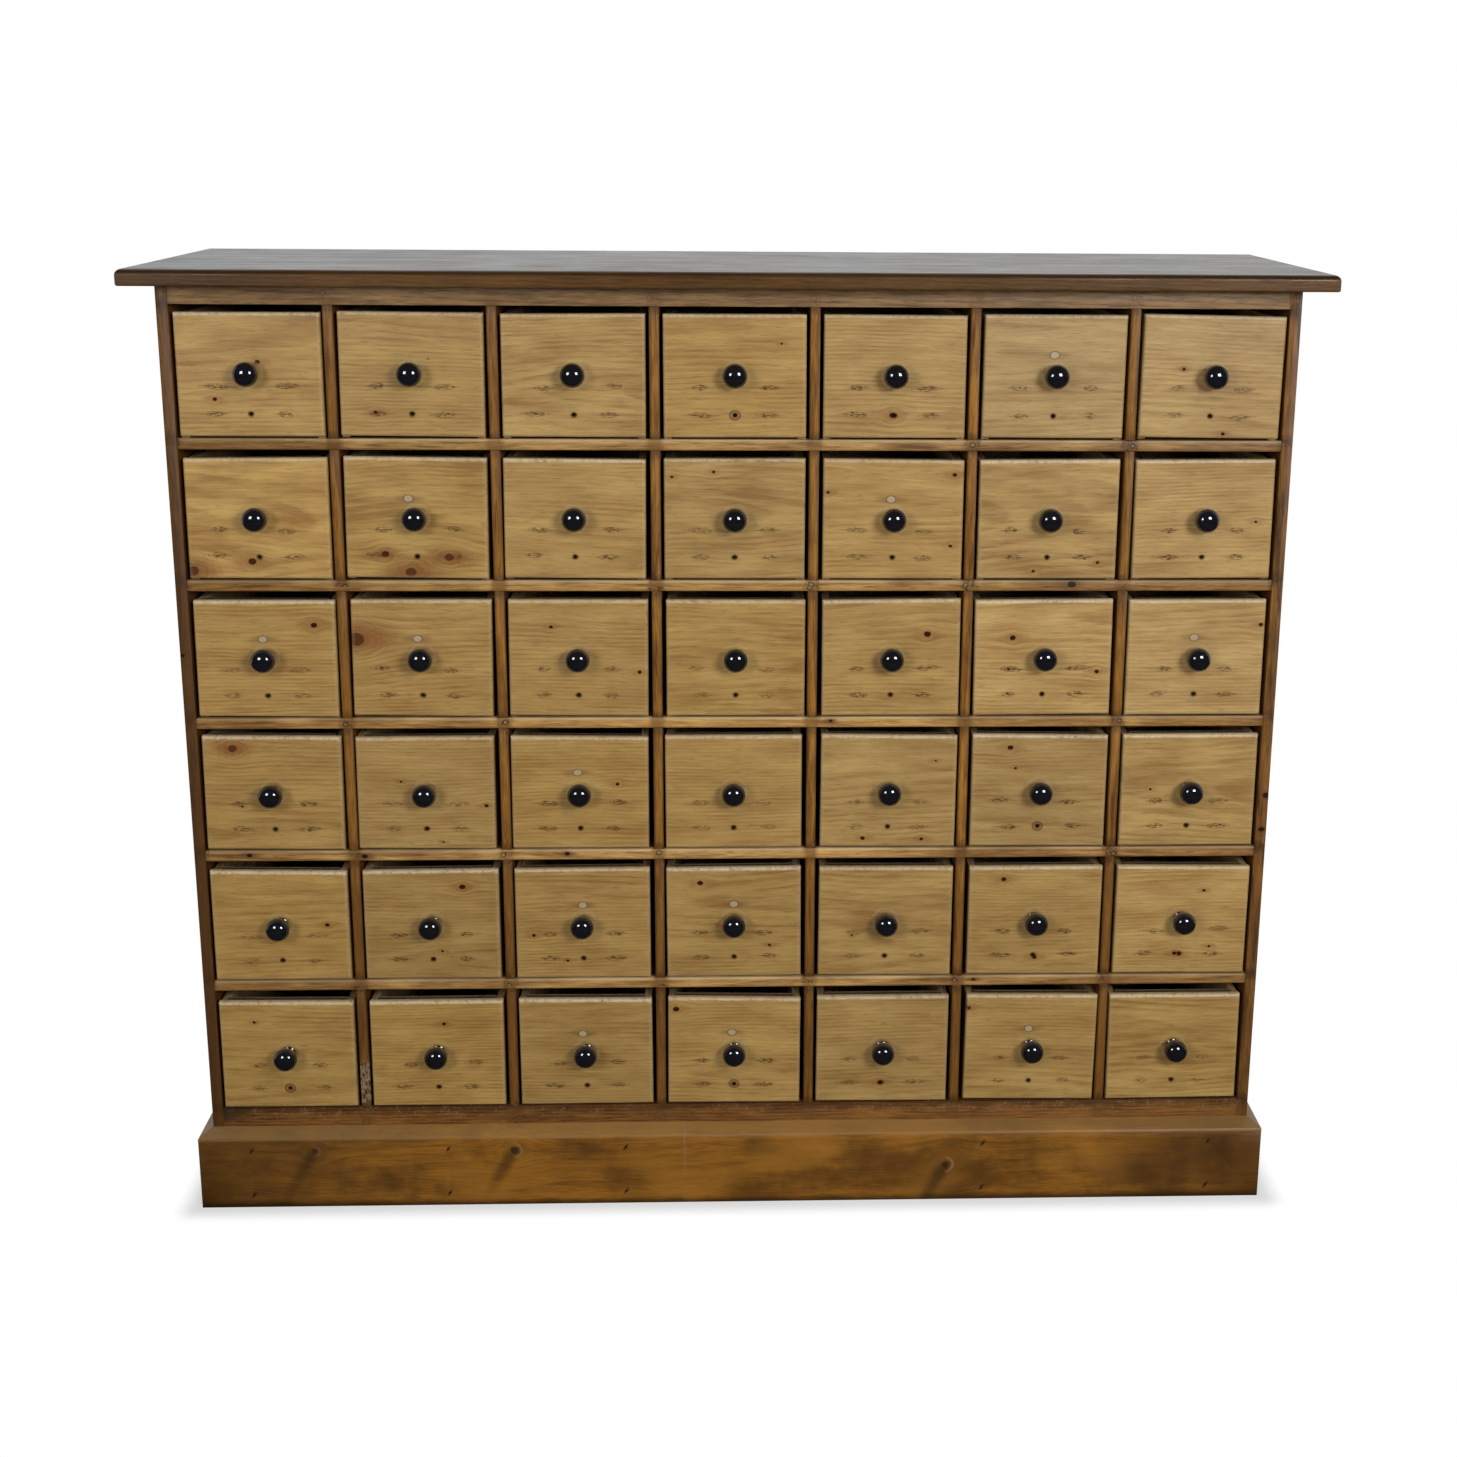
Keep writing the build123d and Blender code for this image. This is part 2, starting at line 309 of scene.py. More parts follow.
def turned(profile, centre, sides=36):
    """A turned shape about an axis that runs towards -Y.

    profile is a list of (radius, reach); a point is the centre plus radius times the unit
    circle in X and Z and reach towards -Y. The normal is the profile's tangent turned by a
    right angle, and both ends close in a point.
    """
    profile = np.asarray(profile, float)
    slope = np.gradient(profile, axis=0)
    slope /= np.linalg.norm(slope, axis=1)[:, None]
    angles = np.linspace(0, 2 * np.pi, sides, endpoint=False)
    ring = np.stack([np.cos(angles), np.zeros(sides), np.sin(angles)], -1)
    axis = np.array([0.0, -1.0, 0.0])
    radius, reach = profile[:, 0, None, None], profile[:, 1, None, None]
    points = centre + radius * ring + reach * axis
    normals = slope[:, 1, None, None] * ring - slope[:, 0, None, None] * axis
    rows = len(profile)
    faces = grid_faces(rows, sides)
    poles = np.array([centre + profile[0, 1] * axis, centre + profile[-1, 1] * axis])
    j = np.arange(sides)
    k = (j + 1) % sides
    start = rows * sides
    last = (rows - 1) * sides
    faces += np.stack([k, j, np.full(sides, start)], -1).tolist()
    faces += np.stack([last + j, last + k, np.full(sides, start + 1)], -1).tolist()
    return Surface(
        np.concatenate([points.reshape(-1, 3), poles]),
        np.concatenate([normals.reshape(-1, 3), [-axis, axis]]),
        faces,
    )


def piece(name, body, parts, material, slot, *nodes):
    """Puts surfaces into one object at the origin that rides on a body and replaces nodes."""
    parts = parts if isinstance(parts, list) else [parts]
    starts = np.cumsum([0] + [len(part.points) for part in parts])
    points = np.concatenate([part.points for part in parts])
    faces = []
    for start, part in zip(starts, parts):
        faces += [[corner + int(start) for corner in face] for face in part.faces]
    mesh = bpy.data.meshes.new(name)
    mesh.from_pydata(points.tolist(), [], faces)
    for mark in sorted(set().union(*(part.marks for part in parts))):
        store(mesh, mark, np.concatenate([part.marks[mark] for part in parts]))
    mesh.materials.append(material)
    mesh.polygons.foreach_set("use_smooth", np.ones(len(mesh.polygons), bool))
    mesh.update()
    if parts[0].normals is not None:
        normals = np.concatenate([part.normals for part in parts])
        normals /= np.maximum(np.linalg.norm(normals, axis=1), 1e-9)[:, None]
        mesh.normals_split_custom_set_from_vertices(normals.tolist())
    return placed(name, body, mesh, nodes)


def store(mesh, mark, values):
    """Writes an attribute on the points of a mesh."""
    values = np.ascontiguousarray(values, np.float32)
    kind, field = ("FLOAT_VECTOR", "vector") if values.ndim == 2 else ("FLOAT", "value")
    mesh.attributes.new(mark, kind, "POINT").data.foreach_set(field, values.ravel())


def placed(name, body, mesh, nodes):
    """Links a mesh as an object that rides on a body and stands for nodes."""
    item = bpy.data.objects.new(name, mesh)
    bpy.context.scene.collection.objects.link(item)
    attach(item, body)
    if nodes:
        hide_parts(*nodes)
    return item


def merged(node, name):
    """A copy of a CAD node's mesh: doubles joined, and triangles on one flat made one face."""
    work = bmesh.new()
    work.from_mesh(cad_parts[node].data)
    bmesh.ops.remove_doubles(work, verts=work.verts, dist=1e-6)
    bmesh.ops.dissolve_limit(
        work, angle_limit=math.radians(1), verts=work.verts, edges=work.edges
    )
    mesh = bpy.data.meshes.new(name)
    work.to_mesh(mesh)
    work.free()
    return mesh


def mesh_numbers(mesh, part, field, kind, width):
    """One field of a mesh's points, edges, loops or faces as an array."""
    items = getattr(mesh, part)
    values = np.empty(len(items) * width, kind)
    items.foreach_get(field, values)
    return values.reshape(-1, width) if width > 1 else values


def solid_numbers(mesh):
    """For every point, the number of the loose solid that it belongs to.

    A point takes the lowest label that an edge joins it to, and then that point's own label,
    until nothing changes.
    """
    edges = mesh_numbers(mesh, "edges", "vertices", np.int32, 2)
    label = np.arange(len(mesh.vertices))
    while True:
        low = label[edges].min(1)
        spread = label.copy()
        np.minimum.at(spread, edges[:, 0], low)
        np.minimum.at(spread, edges[:, 1], low)
        spread = spread[spread]
        if (spread == label).all():
            return np.unique(label, return_inverse=True)[1]
        label = spread


def middles(points, number):
    """The middle of each loose solid's box, repeated for each of its points."""
    count = number.max() + 1
    low, high = np.full((count, 3), np.inf), np.full((count, 3), -np.inf)
    np.minimum.at(low, number, points)
    np.maximum.at(high, number, points)
    return ((low + high) / 2)[number]


def eased(item, width, segments=2):
    """Eases the arrises of a piece with a bevel."""
    bevel = item.modifiers.new("Eased arrises", "BEVEL")
    bevel.width = width
    bevel.segments = segments
    bevel.limit_method = "ANGLE"
    bevel.angle_limit = math.radians(40)
    bevel.harden_normals = True
    return item


def eased_copy(node, material, slot, timber, seed, ease=None):
    """A copy of a CAD node of boards, with its arrises eased; plain pine's name ends in raw.

    timber says which axes run along and across the grain, as "xzy" or "zxy", the last one
    being the log's depth. Each loose board gets its own place in the log and its own tone.
    """
    name = node + ("_raw" if slot == "plain_pine" else "_stained")
    mesh = merged(node, name)
    number = solid_numbers(mesh)
    points = mesh_numbers(mesh, "vertices", "co", np.float32, 3)
    rng = np.random.default_rng(seed)
    order = ["xyz".index(axis) for axis in timber]
    count = number.max() + 1
    offset = (points - middles(points, number)) / MM
    store(mesh, "offset", offset)
    store(mesh, "grain", offset[:, order] + log_places(rng, count)[number])
    store(mesh, "board", board_tones(rng, count)[number])
    mesh.materials.clear()
    mesh.materials.append(material)
    mesh.polygons.foreach_set("material_index", np.zeros(len(mesh.polygons), np.int32))
    mesh.polygons.foreach_set("use_smooth", np.ones(len(mesh.polygons), bool))
    mesh.update()
    item = placed(name, CARCASS, mesh, [node])
    return eased(item, sizes().board_ease if ease is None else ease)


def log_places(rng, count):
    """Where boards were cut from the log: far along it, and off to a side of the pith."""
    along = rng.uniform(-4000, 4000, count)
    across = rng.uniform(25, 110, count) * rng.choice([-1, 1], count)
    depth = rng.uniform(15, 60, count) * rng.choice([-1, 1], count)
    return np.stack([along, across, depth], -1)


def board_tones(rng, count):
    """(tone, warmth, figure) of boards, each spread about nought or one."""
    tone = rng.normal(0, 0.35, count).clip(-0.8, 0.8)
    warmth = rng.normal(0, 0.35, count).clip(-0.8, 0.8)
    figure = rng.uniform(0.4, 1, count)
    return np.stack([tone, warmth, figure], -1)


# ---------------------------------------------------------------- sums in a material


class Wire:
    """A socket in a material that takes part in sums as a number does."""

    def __init__(self, paint, socket):
        self.paint = paint
        self.socket = socket

    def maths(self, operation, *values):
        """A Math node on values, in the material of this wire."""
        return self.paint.add("ShaderNodeMath", {"operation": operation}, values)

    def __add__(self, other):
        return self.maths("ADD", self, other)

    def __radd__(self, other):
        return self.maths("ADD", other, self)

    def __sub__(self, other):
        return self.maths("SUBTRACT", self, other)

    def __rsub__(self, other):
        return self.maths("SUBTRACT", other, self)

    def __mul__(self, other):
        return self.maths("MULTIPLY", self, other)

    def __rmul__(self, other):
        return self.maths("MULTIPLY", other, self)

    def __truediv__(self, other):
        return self.maths("DIVIDE", self, other)

    def __rtruediv__(self, other):
        return self.maths("DIVIDE", other, self)

    def __neg__(self):
        return self.maths("MULTIPLY", self, -1.0)

    def __abs__(self):
        return self.maths("ABSOLUTE", self)

    def out(self, name):
        """Another output of the same node."""
        return Wire(self.paint, self.socket.node.outputs[name])


def least(first, second):
    """The lesser of two values."""
    return first.maths("MINIMUM", first, second)


def most(first, second):
    """The greater of two values."""
    return first.maths("MAXIMUM", first, second)


def fraction(value):
    """What a value has over the whole number below it."""
    return value.maths("FRACT", value)


def root(value):
    """The square root."""
    return value.maths("SQRT", value)


def clamp(value):
    """A value held between nought and one."""
    return value.paint.add("ShaderNodeClamp", {}, {"Value": value, "Min": 0.0, "Max": 1.0})


def rise(value, low, high):
    """Nought below low, one above high, and a smooth step between; low may be the larger."""
    flipped = low > high
    values = {
        "Value": value,
        "From Min": min(low, high),
        "From Max": max(low, high),
        "To Min": 1.0 if flipped else 0.0,
        "To Max": 0.0 if flipped else 1.0,
    }
    settings = {"interpolation_type": "SMOOTHSTEP"}
    return value.paint.add("ShaderNodeMapRange", settings, values, "Result")


def squares(across, up, first=1.0, second=1.0):
    """across^2 * first + up^2 * second."""
    wide = across * across if first == 1 else across * across * first
    high = up * up if second == 1 else up * up * second
    return wide + high


def distance(across, up, first=1.0, second=1.0):
    """How far a point lies from nought, on ovals that the two factors draw out."""
    return root(squares(across, up, first, second))


def noise(point, scales=(1, 1, 1), detail=2.0, roughness=0.5):
    """Smooth noise from nought to one, of a point with each of its numbers times its scale."""
    parts = [value if scale == 1 else value * scale for value, scale in zip(point, scales)]
    paint = parts[0].paint
    values = {"Vector": paint.join(*parts), "Scale": 1.0}
    values.update({"Detail": detail, "Roughness": roughness})
    return paint.add("ShaderNodeTexNoise", {}, values, "Fac")


def waver(point, scales=(1, 1, 1), detail=2.0, roughness=0.5):
    """The same noise about nought, from minus a half to a half."""
    return noise(point, scales, detail, roughness) - 0.5


class Paint:
    """A new material, or a world's tree, the nodes added to it and the colour so far."""

    def __init__(self, name, tree=None):
        self.material = None if tree else bpy.data.materials.new(name)
        if self.material:
            self.material.use_nodes = True
        self.tree = tree or self.material.node_tree
        self.tree.nodes.clear()
        self.tint = None

    def add(self, kind, settings=None, values=(), output=0):
        """A node of a kind: its settings first, then the values or links of its sockets."""
        node = self.tree.nodes.new(kind)
        for key, value in (settings or {}).items():
            setattr(node, key, value)
        for key, value in values.items() if isinstance(values, dict) else enumerate(values):
            socket = self.find(node.inputs, key)
            if isinstance(value, Wire):
                self.tree.links.new(value.socket, socket)
            elif socket.type == "RGBA" and len(value) == 3:
                socket.default_value = (*value, 1)
            else:
                socket.default_value = value
        return Wire(self, self.find(node.outputs, output))

    @staticmethod
    def find(sockets, key):
        """The socket with a place in the list, an identifier, or else a name."""
        exact = [socket for socket in sockets if socket.identifier == key]
        return exact[0] if exact else sockets[key]

    def attribute(self, name, output="Vector"):
        """An attribute of the piece's own points."""
        return self.add("ShaderNodeAttribute", {"attribute_name": name}, (), output)

    def split(self, vector):
        """The three numbers of a vector."""
        first = self.add("ShaderNodeSeparateXYZ", {}, (vector,), "X")
        return first, first.out("Y"), first.out("Z")

    def join(self, x, y, z):
        """A vector of three numbers."""
        return self.add("ShaderNodeCombineXYZ", {}, (x, y, z))

    def object_point(self):
        """The place on the object in metres."""
        return self.split(self.add("ShaderNodeTexCoord", {}, (), "Object"))

    def mix(self, share, first, second, blend="MIX"):
        """A colour between two, or the first blended with the second, by a share."""
        settings = {"data_type": "RGBA", "blend_type": blend, "clamp_factor": True}
        values = {"Factor_Float": share, "A_Color": first, "B_Color": second}
        return self.add("ShaderNodeMix", settings, values, "Result_Color")

    def stain(self, share, tint):
        """Lays a colour, or a stain by its name, over the colour so far by a share."""
        self.tint = self.mix(share, self.tint, STAINS[tint] if isinstance(tint, str) else tint)

    def toned(self, tint):
        """Multiplies the colour so far by another."""
        self.tint = self.mix(1.0, self.tint, tint, "MULTIPLY")

    def bright(self, factor):
        """Multiplies the colour so far by a number."""
        values = self.tint, self.join(factor, factor, factor)
        self.tint = self.add("ShaderNodeVectorMath", {"operation": "MULTIPLY"}, values, "Vector")

    def bump(self, height, reach, strength):
        """The normal of a height over the surface, by how far one of its units reaches."""
        values = {"Strength": strength, "Distance": reach, "Height": height}
        return self.add("ShaderNodeBump", {}, values, "Normal")

    def finish(self, **sockets):
        """The surface shader: the colour so far, its constant sockets and its patterns."""
        values = {"Base Color": self.tint}
        values.update({key.replace("_", " "): value for key, value in sockets.items()})
        return self.output(self.add("ShaderNodeBsdfPrincipled", {}, values, "BSDF"))

    def output(self, shader, kind="ShaderNodeOutputMaterial"):
        """Links a shader to the output, and gives the material."""
        output = self.tree.nodes.new(kind)
        self.tree.links.new(shader.socket, output.inputs["Surface"])
        return self.material


# ---------------------------------------------------------------- timber and finishes

# Colours of marks, stains and wear, and of painted shade and highlights, as linear red, green and
# blue.
STAINS = {
    "warm board": (1.04, 1.0, 0.86),
    "cool board": (0.97, 1.0, 1.16),
    "knot halo": (0.25, 0.088, 0.012),
    "knot arcs": (0.19, 0.066, 0.010),
    "knot ring": (0.050, 0.014, 0.003),
    "knot heart": (0.012, 0.004, 0.001),
    "big knot": (0.115, 0.038, 0.008),
    "plug smear": (0.17, 0.075, 0.02),
    "plug filler": (0.47, 0.36, 0.22),
    "plug rim": (0.10, 0.05, 0.02),
    "pin ink": (0.080, 0.027, 0.004),
    "pin hair": (0.110, 0.042, 0.007),
    "old hole": (0.024, 0.007, 0.001),
    "rust ring": (0.13, 0.04, 0.012),
    "knob rub": (0.50, 0.40, 0.25),
    "knob shade": (0.10, 0.05, 0.02),
    "bare wood and highlight": (0.64, 0.53, 0.36),
    "rebate shade": (0.12, 0.060, 0.020),
    "arris highlight": (0.47, 0.345, 0.19),
    "crossing": (0.155, 0.068, 0.016),
    "crossing dirt": (0.035, 0.018, 0.008),
    "nail filler": (0.30, 0.21, 0.11),
    "nail rim": (0.030, 0.014, 0.005),
    "line filler": (0.26, 0.21, 0.15),
    "opening": (0.15, 0.055, 0.012),
    "deep opening": (0.10, 0.06, 0.03),
    "small halo": (0.09, 0.035, 0.010),
    "small knot": (0.016, 0.006, 0.002),
    "shelf middle": (1.22, 1.24, 1.22),
    "shelf ends": (0.77, 0.71, 0.64),
    "green-black": (0.020, 0.020, 0.010),
    "chip light": (0.26, 0.20, 0.14),
    "chip dark": (0.016, 0.008, 0.005),
    "plinth glow": (0.38, 0.165, 0.020),
    "plinth cloud": (0.040, 0.018, 0.006),
    "plinth knot": (0.030, 0.012, 0.005),
    "plinth scar": (0.36, 0.20, 0.08),
    "plinth ends": (0.052, 0.022, 0.006),
    "plinth seam": (0.32, 0.19, 0.09),
    "nail bruise": (0.028, 0.013, 0.006),
    "plinth lip": (0.36, 0.22, 0.085),
    "plinth foot": (0.035, 0.016, 0.006),
    "top rubbed": (0.17, 0.085, 0.025),
    "top left end": (0.035, 0.020, 0.010),
    "top edge": (0.075, 0.028, 0.003),
    "top arris shade": (0.028, 0.0105, 0.001),
    "grime": (0.13, 0.075, 0.035),
    "handled": (0.010, 0.010, 0.014),
    "rust": (0.07, 0.026, 0.011),
}

# Knots in the carcass boards: x and z in metres, and the radius in millimetres.
SHELF_KNOTS = (
    (0.410, 0.823, 4.2), (-0.460, 0.475, 3.0), (-0.209, 0.477, 2.4),
    (-0.602, 0.477, 2.8), (0.118, 0.650, 2.0), (0.305, 0.303, 2.2),
)
SIDE_KNOTS = ((0.668, 0.550, 4.0), (0.664, 0.505, 3.2), (-0.667, 0.735, 2.6))
PLINTH_KNOTS = ((-0.539, 0.079, 6.0), (-0.284, 0.077, 7.0), (0.274, 0.050, 8.0))

# Where the plinth's nails are in metres: shares of the carcass's width, and two heights.
NAIL_SHARES = (-0.462, -0.275, -0.105, 0.24, 0.46)
NAILS = [(share * 1.34, height) for share in NAIL_SHARES for height in (0.017, 0.080)]

# Where a label holder's pins left marks on a front: the height and a seed for the noise.
PIN_LEVELS = ((-13.5, 3.0), (-HOLE_DROP, 9.0))


class Timber:
    """The pattern of a pine board: growth rings about a pith, fibres and resin flecks.

    The distance from the pith is sqrt(across^2 + depth^2) with both bent by slow noise, and
    its remainder by the ring width gives early wood that darkens into a late-wood line. The
    lines come and go along the board. bend is how far the fibres wander, in millimetres, and
    knots are what a board's own knots add to that.
    """

    def __init__(self, paint, bend, ring=None, knots=()):
        self.paint = paint
        along, across, depth = point = paint.split(paint.attribute("grain"))
        self.tone, self.warmth, self.figure = paint.split(paint.attribute("board"))
        self.along = along
        ring = (sizes().ring_width if ring is None else ring) / MM
        slow = waver(point, (0.0045, 0.012, 0.012), 1.0)
        swirl = waver(point, (0.021, 0.05, 0.05), 1.0)
        bent = across + slow * (bend * 3.4) * self.figure + swirl * (bend * 0.22)
        for deflect in knots:
            bent = bent + deflect
        pith = distance(bent, depth + along * 0.03 * self.figure)
        rings = fraction(pith * (1 / ring))
        curved = along, bent, depth
        clear = rise(noise(curved, (0.012, 0.05, 0.05), 1.0), 0.34, 0.62)
        self.late = rise(rings, 0.25, 0.86) * rise(rings, 1.0, 0.9) * (0.35 + clear * 0.85)
        self.streak = waver(curved, (0.014, 0.24, 0.24), 3.0, 0.6)
        self.fine = waver(curved, (0.034, 0.62, 0.62), 2.0, 0.6)
        self.cloud = waver(point, (0.011, 0.035, 0.035))
        fleck = noise((along * 0.055 + 31, bent * 0.85, depth * 0.85), detail=1.0)
        self.fleck = rise(fleck, 0.61, 0.70)

    def stained(self, light, dark, contrast, streaks, clouds, flecks):
        """Sets the colour so far to the board's own, between a light and a dark wood."""
        drawn = 0.35 + self.figure * 0.55
        share = 0.36 + self.late * contrast + self.streak * drawn * streaks * 1.8
        share = share + self.cloud * drawn * clouds * 1.6 + self.fine * streaks * 1.7
        paint = self.paint
        paint.tint = paint.mix(clamp(share), lighter(light), dark)
        paint.stain(self.fleck * flecks, scaled(dark, 0.5))
        paint.bright(1 - self.tone * 0.09)
        warmth = clamp(self.warmth * 0.5 + 0.5)
        paint.toned(paint.mix(warmth, STAINS["cool board"], STAINS["warm board"]))

    def height(self):
        """Raised late wood and open fibres, in millimetres."""
        return self.late * 0.03 + self.streak * 0.10 + self.fine * 0.08 - self.fleck * 0.06


def woods(name):
    """The light and the dark colour of a wood."""
    return getattr(colours(), name + "_light"), getattr(colours(), name + "_dark")


def scaled(tint, factor):
    """A colour times a number."""
    return tuple(channel * factor for channel in tint)


def lighter(tint):
    """The pale end of a wood's range."""
    return tuple(min(1.0, channel) for channel in scaled(tint, 1.18))


def knot_at(across, up, radius, reach, tall=1.0):
    """How far a knot bends the fibres, and the knot as (across, up, distance, radius).

    Around a knot at distance d the fibres bend as a stream does round a post, by
    radius^2 * reach * offset / d^2, and inside that reach in line with the offset.
    """
    far = squares(across, up, 1.0, tall)
    zone = radius * radius * reach
    return -(up * zone) / most(far, zone), (across, up, root(far), radius)


@functools.cache
def pine_front():
    """Waxed pale pine of the drawer fronts, with the marks that each one carries, painted
    shade under the knob, in the old hole and on the rebated edges, and a painted highlight
    mixed into the wear along the top arris.

    place is a point from the middle of the front's face in millimetres, as across, in depth
    and up.
    """
    paint = Paint("waxed_pale_pine")
    u, depth, w = paint.split(paint.attribute("place"))
    bends, knots = [], []
    for name in ("knot_a", "knot_b", "knot_c"):
        knot_u, knot_w, radius = paint.split(paint.attribute(name))
        bend, knot = knot_at(u - knot_u, w - knot_w, radius, 7.0, 1.5)
        bends.append(bend)
        knots.append(knot)
    timber = Timber(paint, 6.0, None, bends)
    timber.stained(*woods("front"), 0.33, 0.60, 1.2, 0.4)
    wobble = waver((timber.along, depth, w), (0.16, 0.1, 0.16))
    scratch = noise((timber.along, depth, w), (0.34, 1, 0.8), 2.0, 0.6)
    dull = front_knots(paint, timber, knots, wobble)
    plug, rub, pins = paint.split(paint.attribute("marks"))
    plug_u, plug_w, hole_ring = paint.split(paint.attribute("fixings"))
    du, dw = u - plug_u, w - plug_w
    away = distance(du, dw, 0.62)
    smear = rise(distance(du, dw, 0.05) + wobble * 2, 6.0, 1.5)
    paint.stain(smear * plug * 0.5, "plug smear")
    paint.stain(rise(away + wobble, 4.9, 3.9) * plug * 0.85, "plug filler")
    rim = rise(abs(away - 4.4 + wobble * 0.8), 0.8, 0.25)
    paint.stain(rim * plug * 0.75, "plug rim")
    for level, seed in PIN_LEVELS:
        ink = pin_marks(paint, timber, u, w, level, seed, wobble, scratch, pins)
        dull = most(dull, ink * 0.6)
    below = distance(u, w + HOLE_DROP, 0.8)
    # Painted shade inside the old screw hole, and a dark stain round its rim.
    socket = rise(below + wobble * 2, 4.8, 1.8)
    paint.stain(socket * 0.95, "old hole")
    dull = most(dull, socket)
    circle = rise(abs(below - 5.4 + wobble * 1.2), 1.5, 0.5)
    paint.stain(circle * hole_ring * 0.85, "rust ring")
    knob = distance(u, w - KNOB_RISE) + wobble * 4
    paint.stain(rise(abs(knob - 15.5), 2.6, 0.6) * 0.22, "knob rub")
    # Painted shade: darker in a disc under the knob's ball.
    paint.stain(rise(knob, 12.5, 9.0) * 0.6, "knob shade")
    edge = most(abs(u) - SOLID_HALF, abs(w) - FRONT_HALF[1]) + wobble * 3.4
    # Pale bare wood where the arrises are worn, strongest along the top, where it is also a painted
    # highlight.
    top = rise(w, 66.0, 71.0)
    arris = paint.attribute("wear", "Fac") * (0.25 + top * 0.55)
    worn = most(rise(edge, -4.6, -2.0) * (0.12 + top * 0.88), arris)
    worn = worn * rise(scratch + wobble * 0.5, 0.30, 0.52) * rub
    paint.stain(worn * 0.85, "bare wood and highlight")
    # Painted shade on the front's edges and back, behind its face.
    paint.stain(rise(depth, 4.0, 10.0) * (1 - socket) * 0.5, "rebate shade")
    height = timber.height() - rise(abs(away - 3.9), 0.8, 0.2) * plug * 0.12
    return paint.finish(
        Roughness=0.47 + timber.streak * 0.22 + timber.late * -0.05 + wobble * 0.06 + dull * 0.4,
        Normal=paint.bump(height, 0.9 * MM, 0.35),
        Specular_IOR_Level=0.15,
        Coat_Weight=0.85 - dull * 0.85,
        Coat_Roughness=0.47,
    )


def front_knots(paint, timber, knots, wobble):
    """A halo and a ringed core for each knot, and arcs of late wood round a big one.

    Returns where the cores are, because the wax is dull there.
    """
    cores = []
    for du, dw, away, radius in knots:
        size = radius + 0.01
        there = rise(radius, 0.2, 1.2)
        big = rise(radius, 3.6, 4.6)
        halo = rise((distance(du, dw, 0.13) + wobble * 6) / size, 3.2, 0.6) * there
        paint.stain(halo * (0.5 + big * 0.35), "knot halo")
        swept = distance(du, dw, 0.30) + wobble * 7 + timber.cloud * 14
        arcs = rise(fraction(swept * 0.21), 0.35, 0.95)
        arcs = arcs * rise(away / size, 6.0, 1.5) * big
        paint.stain(arcs * 0.55, "knot arcs")
        core = rise((away + wobble * 2.4) / size, 1.4, 1.0)
        ringed = rise(fraction(away / size * 1.6 + wobble), 0.1, 0.8)
        wood = paint.mix(ringed, STAINS["knot ring"], STAINS["knot heart"])
        wood = paint.mix(big * 0.8, wood, STAINS["big knot"])
        paint.stain(core * there, wood)
        cores.append(core * there)
    return functools.reduce(most, cores)


def pin_marks(paint, timber, u, w, level, seed, wobble, scratch, pins):
    """Scribbled ovals and a hair line left and right of the middle at one height.

    stray moves them from front to front, since it reads the board's place in the log.
    Returns where the ink is, because the wax is dull there.
    """
    stray = waver((timber.along, seed, 0.0), (0.012, 1, 1), 0.0)
    side = abs(u) - 41.0 + stray * 34
    up = w - level + stray * 8
    oval = distance(side, up, 0.013, 0.10)
    scribble = noise((timber.along, w, seed), (0.15, 0.85, 1), 2.0, 0.6)
    ink = rise(scribble, 0.49, 0.55) * rise(oval, 1.5, 0.8)
    outline = rise(abs(oval - 1.0 + wobble * 0.9), 0.32, 0.08) * rise(scratch, 0.44, 0.56)
    ink = most(ink, outline * 0.35) * pins
    paint.stain(ink, "pin ink")
    hair = rise(abs(up + wobble * 2), 1.3, 0.4) * rise(abs(side), 24.0, 8.0)
    paint.stain(hair * rise(scratch, 0.44, 0.54) * pins * 0.85, "pin hair")
    return ink


def stained_member(name, wood, crossings=0.0, lines=(), arris=None, darkens=0.0):
    """Wiped brown stain on a carcass board. Returns the paint, its timber and its noise.

    wood names the pair of colours. Where the dividers cross it is darker and dirtier by
    crossings. It is darker near the heights in lines, and by darkens it is darker low down.
    arris is (axis, half the board's thickness): along a divider both arrises are dark, and
    along a shelf the top one is painted pale as a highlight and the lower one dark as
    painted shade.
    """
    paint = Paint(name)
    timber = Timber(paint, 6.0)
    light, dark = woods(wood)
    timber.stained(light, dark, 0.30, 1.0, 0.9, 0.5)
    x, _, z = point = paint.object_point()
    off_x, _, off_z = paint.split(paint.attribute("offset"))
    wobble = waver(point, (80, 80, 60))
    grit = noise(point, (300, 300, 230), 2.0, 0.6)
    deepest = scaled(dark, 0.45)
    paint.stain(rise(z + wobble * 0.15, 0.62, 0.22) * 0.5 * darkens, dark)
    axis, half = arris or ("", 0)
    if axis == "x":
        paint.stain(rise(abs(off_x) + wobble * 2.0, half - 3.2, half + 0.2) * 0.75, deepest)
    if axis == "z":
        up = off_z + wobble * 2.4
        # Painted highlight along the top arris, and painted shade along the lower one.
        paint.stain(rise(up, half - 4.4, half - 1.0) * 0.62, "arris highlight")
        paint.stain(rise(up, 3.0 - half, -half) * 0.7, dark)
    if crossings:
        crossing_marks(paint, x, z, off_z, wobble, grit, crossings)
    if lines:
        near = functools.reduce(least, [abs(z - line) * 1000 for line in lines])
        # Darker near the heights in lines, but not on the sides' outer faces.
        line_dark = rise(near + wobble * 16, 13.0, 1.0) * rise(abs(x), 0.6698, 0.668)
        paint.stain(line_dark * 0.6, deepest)
        filled = rise(grit + wobble * 0.3, 0.60, 0.68) * rise(near, 22.0, 8.0)
        paint.stain(filled * 0.35, "line filler")
    return paint, timber, wobble


